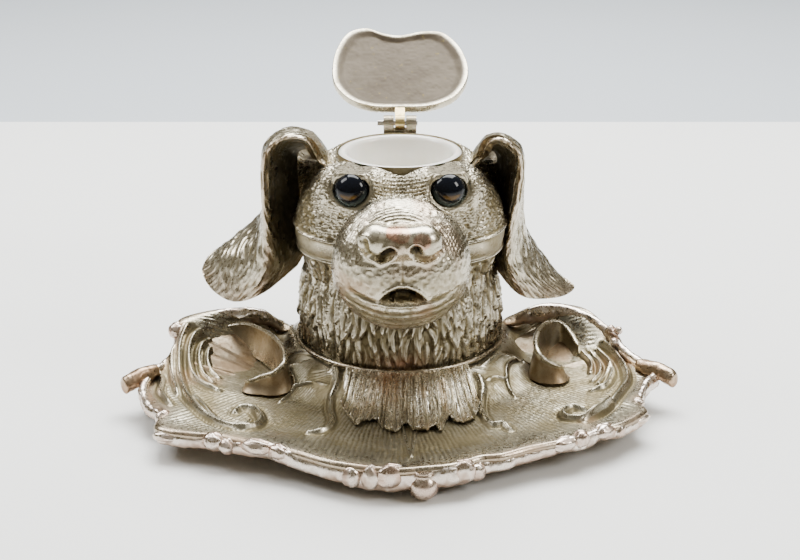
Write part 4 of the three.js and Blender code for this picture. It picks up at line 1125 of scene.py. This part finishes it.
# The rim roll: x, y, height of its top, half width and half height, round from the front middle.
RIM = [
    (0, -90.5, 10.5, 1.8, 3.6), (7, -90.5, 10.5, 1.6, 3.4), (12, -88.5, 10, 1.7, 3.2),
    (18, -85.5, 9.6, 1.6, 2.6), (26, -83.5, 9.6, 1.5, 2.2), (34, -80, 10, 1.5, 2.2),
    (40, -77.8, 10.4, 1.6, 2.2), (46, -75.5, 11, 1.8, 2.4), (52, -73.5, 11.2, 1.8, 2.6),
    (58, -69.3, 11, 1.6, 2.4), (66, -65.8, 10, 1.5, 2.2), (74.5, -57.5, 9.2, 1.4, 1.8),
    (73.5, -52, 10, 1.5, 2.2), (76.5, -45.5, 11.5, 1.5, 2.4), (80, -38.5, 12.5, 1.6, 2.6),
    (84, -32.5, 13, 1.8, 2.8), (81, -25, 14.2, 1.6, 2.4), (76.5, -17, 16, 1.5, 2.4),
    (73.5, -10, 19.5, 1.6, 2.6), (67.5, -2, 22, 1.8, 3), (61, 2.5, 23.3, 1.9, 3.2),
    (54, 4.5, 23.8, 1.9, 3.2), (46, 4, 22.5, 1.8, 3), (41, 9, 18, 1.6, 2.4), (37, 17, 13, 1.5, 1.8),
    (24, 28.8, 11.5, 1.5, 1.6), (10, 32, 11.3, 1.5, 1.6), (0, 34.8, 11.3, 1.5, 1.6),
    (-10, 32, 11.3, 1.5, 1.6), (-24, 28.8, 11.5, 1.5, 1.6), (-37, 18, 13, 1.5, 1.8),
    (-42.5, 11, 18, 1.6, 2.4), (-48, 8.5, 23, 1.8, 3), (-56, 9, 24, 1.9, 3.2), (-65, 9, 23, 1.9, 3),
    (-73, 6, 21, 1.7, 2.8), (-78, 1, 19, 1.6, 2.6), (-78, -6.5, 16, 1.6, 2.2),
    (-83, -14.5, 14.2, 1.6, 2), (-87.5, -22, 13.4, 1.6, 2.2), (-88.5, -30, 11.8, 1.5, 2.2),
    (-86, -38.5, 10.6, 1.5, 2.2), (-81, -45.5, 10.2, 1.5, 2.2), (-81.5, -55.5, 9.4, 1.5, 2.2),
    (-77, -60, 9.6, 1.6, 2.2), (-70, -62.8, 10.4, 1.6, 2.4), (-62, -65, 11, 1.8, 2.6),
    (-54, -69.5, 10.6, 1.6, 2.4), (-46, -72.5, 11.6, 1.7, 2.8), (-39, -77, 10.6, 1.6, 2.8),
    (-28, -84, 9.8, 1.6, 2.8), (-20, -87.5, 9.8, 1.7, 3.4), (-10, -90, 10.5, 1.8, 4),
]
# Knobs, leaves and small scrolls along the rim: place of the middle, half sizes, and turn in degrees.
RIM_KNOBS = [
    ((-80.5, -48.5, 9.6), (2.8, 2.6, 2.4), 0), ((-77.5, -59.5, 8.2), (6.0, 2.4, 1.9), -15),
    ((-63.5, -65.5, 9.0), (3.8, 3.0, 3.2), -20), ((-59.5, -67.5, 8.2), (2.8, 2.4, 2.8), -25),
    ((-50, -71.5, 9.8), (5.6, 2.6, 2.6), -18), ((-43.5, -74.5, 9.2), (4.0, 2.3, 2.6), -35),
    ((-21.5, -88, 7.0), (3.2, 2.6, 3.4), 0), ((-16, -90, 7.6), (3.0, 2.6, 4.2), 0),
    ((-10, -90.4, 8.0), (4.8, 2.6, 4.2), 0), ((12.2, -89.0, 8.0), (4.0, 2.6, 4.0), 8),
    ((16.5, -87, 6.6), (3.0, 2.3, 3.0), 10), ((45.5, -76, 9.2), (5.2, 2.5, 2.6), 20),
    ((51, -74.2, 9.8), (3.0, 2.8, 3.0), 20), ((59.5, -69, 9.4), (4.2, 2.8, 2.8), 30),
    ((64.5, -66.5, 8.6), (2.6, 2.3, 2.3), 30), ((73, -59.5, 8.4), (4.8, 2.2, 1.8), 35),
    ((74.5, -50, 9.6), (2.4, 2.2, 2.0), 0), ((-78.5, 0.5, 19.5), (3.0, 3.0, 3.0), 0),
    ((-72.5, -3.5, 17.5), (1.5, 1.5, 1.5), 0), ((73.0, -12.5, 19.8), (2.0, 2.0, 2.0), 0),
    ((75.5, -13.5, 20.2), (1.5, 1.5, 1.5), 0), ((73.5, -16.5, 17.2), (1.5, 1.5, 1.5), 0),
]
HORNS = {
    "left": [(-84, -18.5, 13.2), (-88, -21.5, 13), (-92, -24, 12), (-95.5, -26, 10.6)],
    "right": [(79, -27, 13.2), (83, -30.5, 13.2), (87, -33.5, 12.6), (90.5, -37, 10.8)],
}


def rim():
    """The roll round the tray's edge, its knobs and leaves, and the horn that ends each wing."""
    table = np.array(RIM, float)
    places = np.column_stack([table[:, :2], table[:, 2] - table[:, 4]])
    loop = np.column_stack([table, places[:, 2]])
    smooth = curve_through(np.column_stack([loop[:, 0], loop[:, 1], loop[:, 5], loop[:, 3], loop[:, 4]]),
                           1100, closed=True)
    forward = np.roll(smooth[:, :2], -1, axis=0) - np.roll(smooth[:, :2], 1, axis=0)
    side = stack(forward[:, 1], -forward[:, 0], 0 * forward[:, 0])
    side = side / np.linalg.norm(side, axis=1, keepdims=True)
    turn = np.linspace(0, 2 * np.pi, 36, endpoint=False)
    a, b = np.cos(turn), np.sign(np.sin(turn)) * np.abs(np.sin(turn)) ** 0.8
    points = smooth[:, None, :3] + side[:, None, :] * (smooth[:, 3:4] * a)[..., None]
    points[..., 2] += smooth[:, 4:5] * b
    away = stack(side[:, None, 0] * a, side[:, None, 1] * a, b + 0 * smooth[:, :1])
    dents = 0.34 * noise(points, 3.4, 81) + 0.16 * noise(points, 1.4, 82)
    points = points + away * dents[..., None]
    # Painted shade towards the roll's underside, on top of its dents; the copper share is also higher on its
    # lower half.
    hollow = np.clip(0.46 - 0.5 * dents + 0.30 * ramp(0.3, -0.8, b), 0, 1)
    rubbed = np.clip(0.25 + 0.65 * ramp(0.5, -0.4, b) * ramp(-0.4, 0.5, noise(points, 9, 83)), 0, 1)
    skin("tray_rim", points, RIM_PLATE, "base", ("tray",), "silver_plate", closed=(True, True), turned=True,
         marks={"hollow": hollow, "rubbed": rubbed}, flip=True)
    for i, (middle, radii, angle) in enumerate(RIM_KNOBS):
        knob(f"rim_knob_{i + 1:02d}", middle, radii, math.radians(angle), 90 + i)
    for word, path in HORNS.items():
        swept(word + "_horn", path, [2.0, 2.6, 2.8, 2.9, 2.7], [2.0, 2.6, 2.9, 3.0, 2.8], HORN_PLATE,
              ("tray",),
              sides=40, steps=90, texture_depth=0.3, seed=131, rubbed=0.75, hollow=0.55)


def knob(name, middle, radii, angle, seed):
    """A cast knob: an egg with a lengthwise furrow and soft uneven lobes."""
    t = np.linspace(-np.pi / 2, np.pi / 2, 40)[:, None]
    turn = np.linspace(0, 2 * np.pi, 60, endpoint=False)[None, :]
    ball = stack(np.sin(t) + 0 * turn, np.cos(t) * np.cos(turn), np.cos(t) * np.sin(turn))
    lobes = 1 + 0.10 * noise(ball * 1.7 + seed, 1, seed) + 0.03 * noise(ball * 5, 1, seed + 1)
    crease = 0.12 * bell(ball[..., 1] + 0.25 * np.sin(3 * ball[..., 0]), 0.18)
    lobes = lobes - crease * ramp(0, 0.5, ball[..., 2])
    local = ball * lobes[..., None] * np.array(radii)
    cos, sin = math.cos(angle), math.sin(angle)
    points = stack(cos * local[..., 0] - sin * local[..., 1], sin * local[..., 0] + cos * local[..., 1],
                   local[..., 2])
    # Painted shade towards the knob's underside, on top of its furrow and lobes; a little more copper lies
    # there too.
    hollow = np.clip(0.5 + 2.2 * (1 - lobes) + 0.2 * ramp(0.2, -0.8, ball[..., 2]), 0, 1)
    rubbed = 0.35 + 0.5 * ramp(-0.2, 0.5, noise(ball, 0.9, seed + 2)) + 0.1 * ramp(0.4, -0.5, ball[..., 2])
    skin(name, points + np.array(middle), RIM_PLATE, "base", ("tray",), "silver_plate", closed=(False, True),
         turned=True, weld=True, marks={"hollow": hollow, "rubbed": np.clip(rubbed, 0, 1)})


# The lower edge of the drapery in front of the neck, from left to right.
DRAPERY_HEM = [
    (-23.5, -42.5), (-22, -49.5), (-20, -57), (-18.5, -60.5), (-16, -58), (-12.5, -57.5), (-10, -63.5),
    (-7, -66), (-5, -64.5), (-3, -60.5), (-1, -65), (2.5, -66), (6, -64), (8, -66.5), (11, -58), (13, -60.5),
    (17, -61), (20.5, -56), (22.5, -47.5),
]


def neck_drapery():
    """The fluted cloth that hangs from the neck's collar over the front of the tray, with a scalloped hem,
    and the cord of the collar above it."""
    across, down = 420, 150
    hem = curve_through(DRAPERY_HEM, across)
    s = np.linspace(-1, 1, across)
    top_angle = s * 0.60
    top = np.stack([36.2 * np.sin(top_angle), -36.2 * np.cos(top_angle)], axis=1)
    t = np.linspace(0, 1, down)[:, None]
    x = top[:, 0] * (1 - t) + hem[:, 0] * t
    y = top[:, 1] * (1 - t) + hem[:, 1] * t
    fall = 17.4 - 5.6 * ramp(0, 0.85, t) - 0.5 * t
    drift = 0.7 * noise(stack(s * 9, 0 * s, 0 * s), 1, 101)
    flute = np.cos(s * 47 + 0.9 * np.sin(7 * s)) * 0.55 + 0.4 * np.cos(s * 118 + 2 * t + drift)
    flute = flute * ramp(0, 0.12, t) * (0.7 + 0.5 * t)
    fine = 0.22 * noise(stack(s * 75, 6 * t + 0 * s, 0 * x), 1, 102)
    fine = fine + 0.10 * noise(stack(s * 160, 12 * t + 0 * s, 0 * x), 1, 103)
    ends = np.sqrt(np.clip(1 - np.abs(s) ** 30, 0, 1))
    height = (flute + fine) * ends
    outer = stack(x, y, fall + height)
    lower = stack(x, y, np.minimum(fall - 1.6, 10.4) + 0 * s)
    lower[..., 1] = y + 1.2 * ramp(0.9, 1, t)
    sparse = slice(None, None, -9)
    points = np.concatenate([outer, lower[sparse]])
    hollow = 0.85 * hollows(height, 5, 0.7)
    stain = bell(s + 0.28, 0.22) * ramp(0.75, 0.1, t) * ramp(0, 0.04, t)
    rubbed = np.clip(0.5 * stain + 0.12 * ramp(0.2, 0.7, noise(stack(s * 6, 3 * t, 0 * x), 1, 104)), 0, 1)
    skin("neck_drapery", points, DRAPERY_PLATE, "base", ("tray",), "silver_plate", closed=(True, False),
         turned=True, flip=True, marks={"hollow": np.concatenate([hollow, 0.7 + 0 * x[sparse]]),
                           "rubbed": np.concatenate([rubbed, 0 * x[sparse]])})
    turn = np.linspace(0, 2 * np.pi, 60, endpoint=False)
    ring = np.stack([36.2 * np.sin(turn), -36.2 * np.cos(turn), 17.2 + 0 * turn], axis=1)
    swept("neck_collar", ring, [0.75, 0.75], [0.7, 0.7], TRAY_PLATE, ("tray",), steps=400, sides=24,
          closed=True, texture_depth=0.12, seed=105, rubbed=0.15, hollow=0.45, flip=True)


def feet():
    """Ball feet with two turned rings and a stem up to the tray."""
    for node in ("front_foot", "left_rear_foot", "right_rear_foot"):
        low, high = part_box(node)
        middle = (np.array(low) + np.array(high)) / 2 * 1000 - AXIS * 1000
        radius = (high[0] - low[0]) * 500
        turn = np.linspace(-1.28, 0.86, 26)
        ball = np.stack([radius * 1.03 * np.cos(turn), radius * 0.96 + radius * 1.0 * np.sin(turn)], axis=1)
        neck = ball[-1, 1]
        rings = [(3.7, neck + 0.3), (3.9, neck + 1.0), (3.0, neck + 1.5), (2.8, neck + 1.7),
                 (3.4, neck + 2.1)]
        top = high[2] * 1000
        stem = [(3.4, max(top - 0.6, neck + 2.3)), (0, max(top - 0.6, neck + 2.3))]
        profile = np.vstack([[(0, 0)], ball, rings, stem])
        profile[:, 1] = np.maximum(profile[:, 1], 0)
        profile[-2:, 1] = top
        turned_piece(node + "_turned", profile, FOOT_PLATE, "base", (node,), "silver_plate", sides=72,
                     centre=(middle[0], middle[1], 0), marks={"hollow": 0.5, "rubbed": 0.55})


# ---- The table, the light and the camera ----

def plain_finish(name, colour, roughness):
    """A plain matt colour that wanders very slightly in tone."""
    material, tree, shader = new_material(name)
    where = tree.nodes.new("ShaderNodeTexCoord").outputs["Object"]
    cloud = texture(tree, "ShaderNodeTexNoise", where, Scale=6.0, Detail=2.0).outputs["Fac"]
    darker = tuple(0.985 * c for c in colour)
    tree.links.new(blend_colours(tree, mapped(tree, cloud, 0.3, 0.7), colour, darker),
                   shader.inputs["Base Color"])
    shader.inputs["Roughness"].default_value = roughness
    return material


def flat_sheet(name, near, far, level, colour):
    """A flat sheet 10 m wide between two distances behind the head, in mm."""
    across = np.linspace(-5000, 5000, 9)
    run = np.linspace(near, far, 9)[:, None]
    points = stack(across + 0 * run, run + 0 * across, level + 0 * (run + across))
    skin(name, points, plain_finish(name, colour, 0.6), "base", uv_size=(4, 4))


def table():
    """A white table, and the pale blue-grey ground that starts some way behind it."""
    flat_sheet("white_table", -5000, 349, 0, (0.86, 0.86, 0.845))
    flat_sheet("grey_ground", 348, 5000, -0.5, (0.50, 0.535, 0.575))


def soft_box(name, place, aim, size, power, colour=(1, 1, 1)):
    """A rectangular area light at a place in metres, facing another place."""
    light = bpy.data.lights.new(name, "AREA")
    light.shape = "RECTANGLE"
    light.size, light.size_y = size
    light.energy = power
    light.color = colour
    lamp = bpy.data.objects.new(name, light)
    lamp.location = place
    lamp.rotation_euler = (Vector(aim) - Vector(place)).to_track_quat("-Z", "Y").to_euler()
    bpy.context.collection.objects.link(lamp)


def room():
    """A dim warm room round the table: paler above, darker at eye level and below."""
    world = bpy.data.worlds.new("room")
    bpy.context.scene.world = world
    world.use_nodes = True
    tree = world.node_tree
    where = tree.nodes.new("ShaderNodeTexCoord").outputs["Generated"]
    split = tree.nodes.new("ShaderNodeSeparateXYZ")
    tree.links.new(where, split.inputs[0])
    share = mapped(tree, split.outputs["Z"], -0.1, 0.9)
    colour = blend_colours(tree, share, (0.30, 0.24, 0.12), (0.62, 0.58, 0.48))
    tree.links.new(colour, tree.nodes["Background"].inputs["Color"])
    tree.nodes["Background"].inputs["Strength"].default_value = 0.5


def light_and_camera():
    """A broad light over and behind the inkwell, a window and a lamp at its sides, and the camera."""
    aim = (0, 0, 0.05)
    soft_box("ceiling_light", (0.08, 0.40, 0.95), aim, (0.9, 0.7), 36.0, (0.98, 1.0, 1.0))
    soft_box("window", (-0.70, 0.05, 0.8), aim, (0.35, 0.5), 7.0, (1.0, 1.0, 1.0))
    soft_box("right_lamp", (0.75, -0.30, 0.6), aim, (0.25, 0.35), 5.0, (1.0, 0.98, 0.94))
    camera = bpy.data.cameras.new("camera")
    camera.sensor_width = 36
    camera.lens = 18 / math.tan(math.radians(15))
    viewer = bpy.data.objects.new("camera", camera)
    pitch = math.radians(21)
    viewer.location = (AXIS[0], AXIS[1] - 0.4885, 0.2237)
    viewer.rotation_euler = (math.pi / 2 - pitch, 0, 0)
    bpy.context.collection.objects.link(viewer)
    bpy.context.scene.camera = viewer


head()
well()
ink_pot()
eyes()
ear("left", LEFT_EAR, -1)
ear("right", RIGHT_EAR, 1)
lid()
hinge_metal()
fasteners()
tray()
crests()
rim()
neck_drapery()
feet()
table()
room()
light_and_camera()
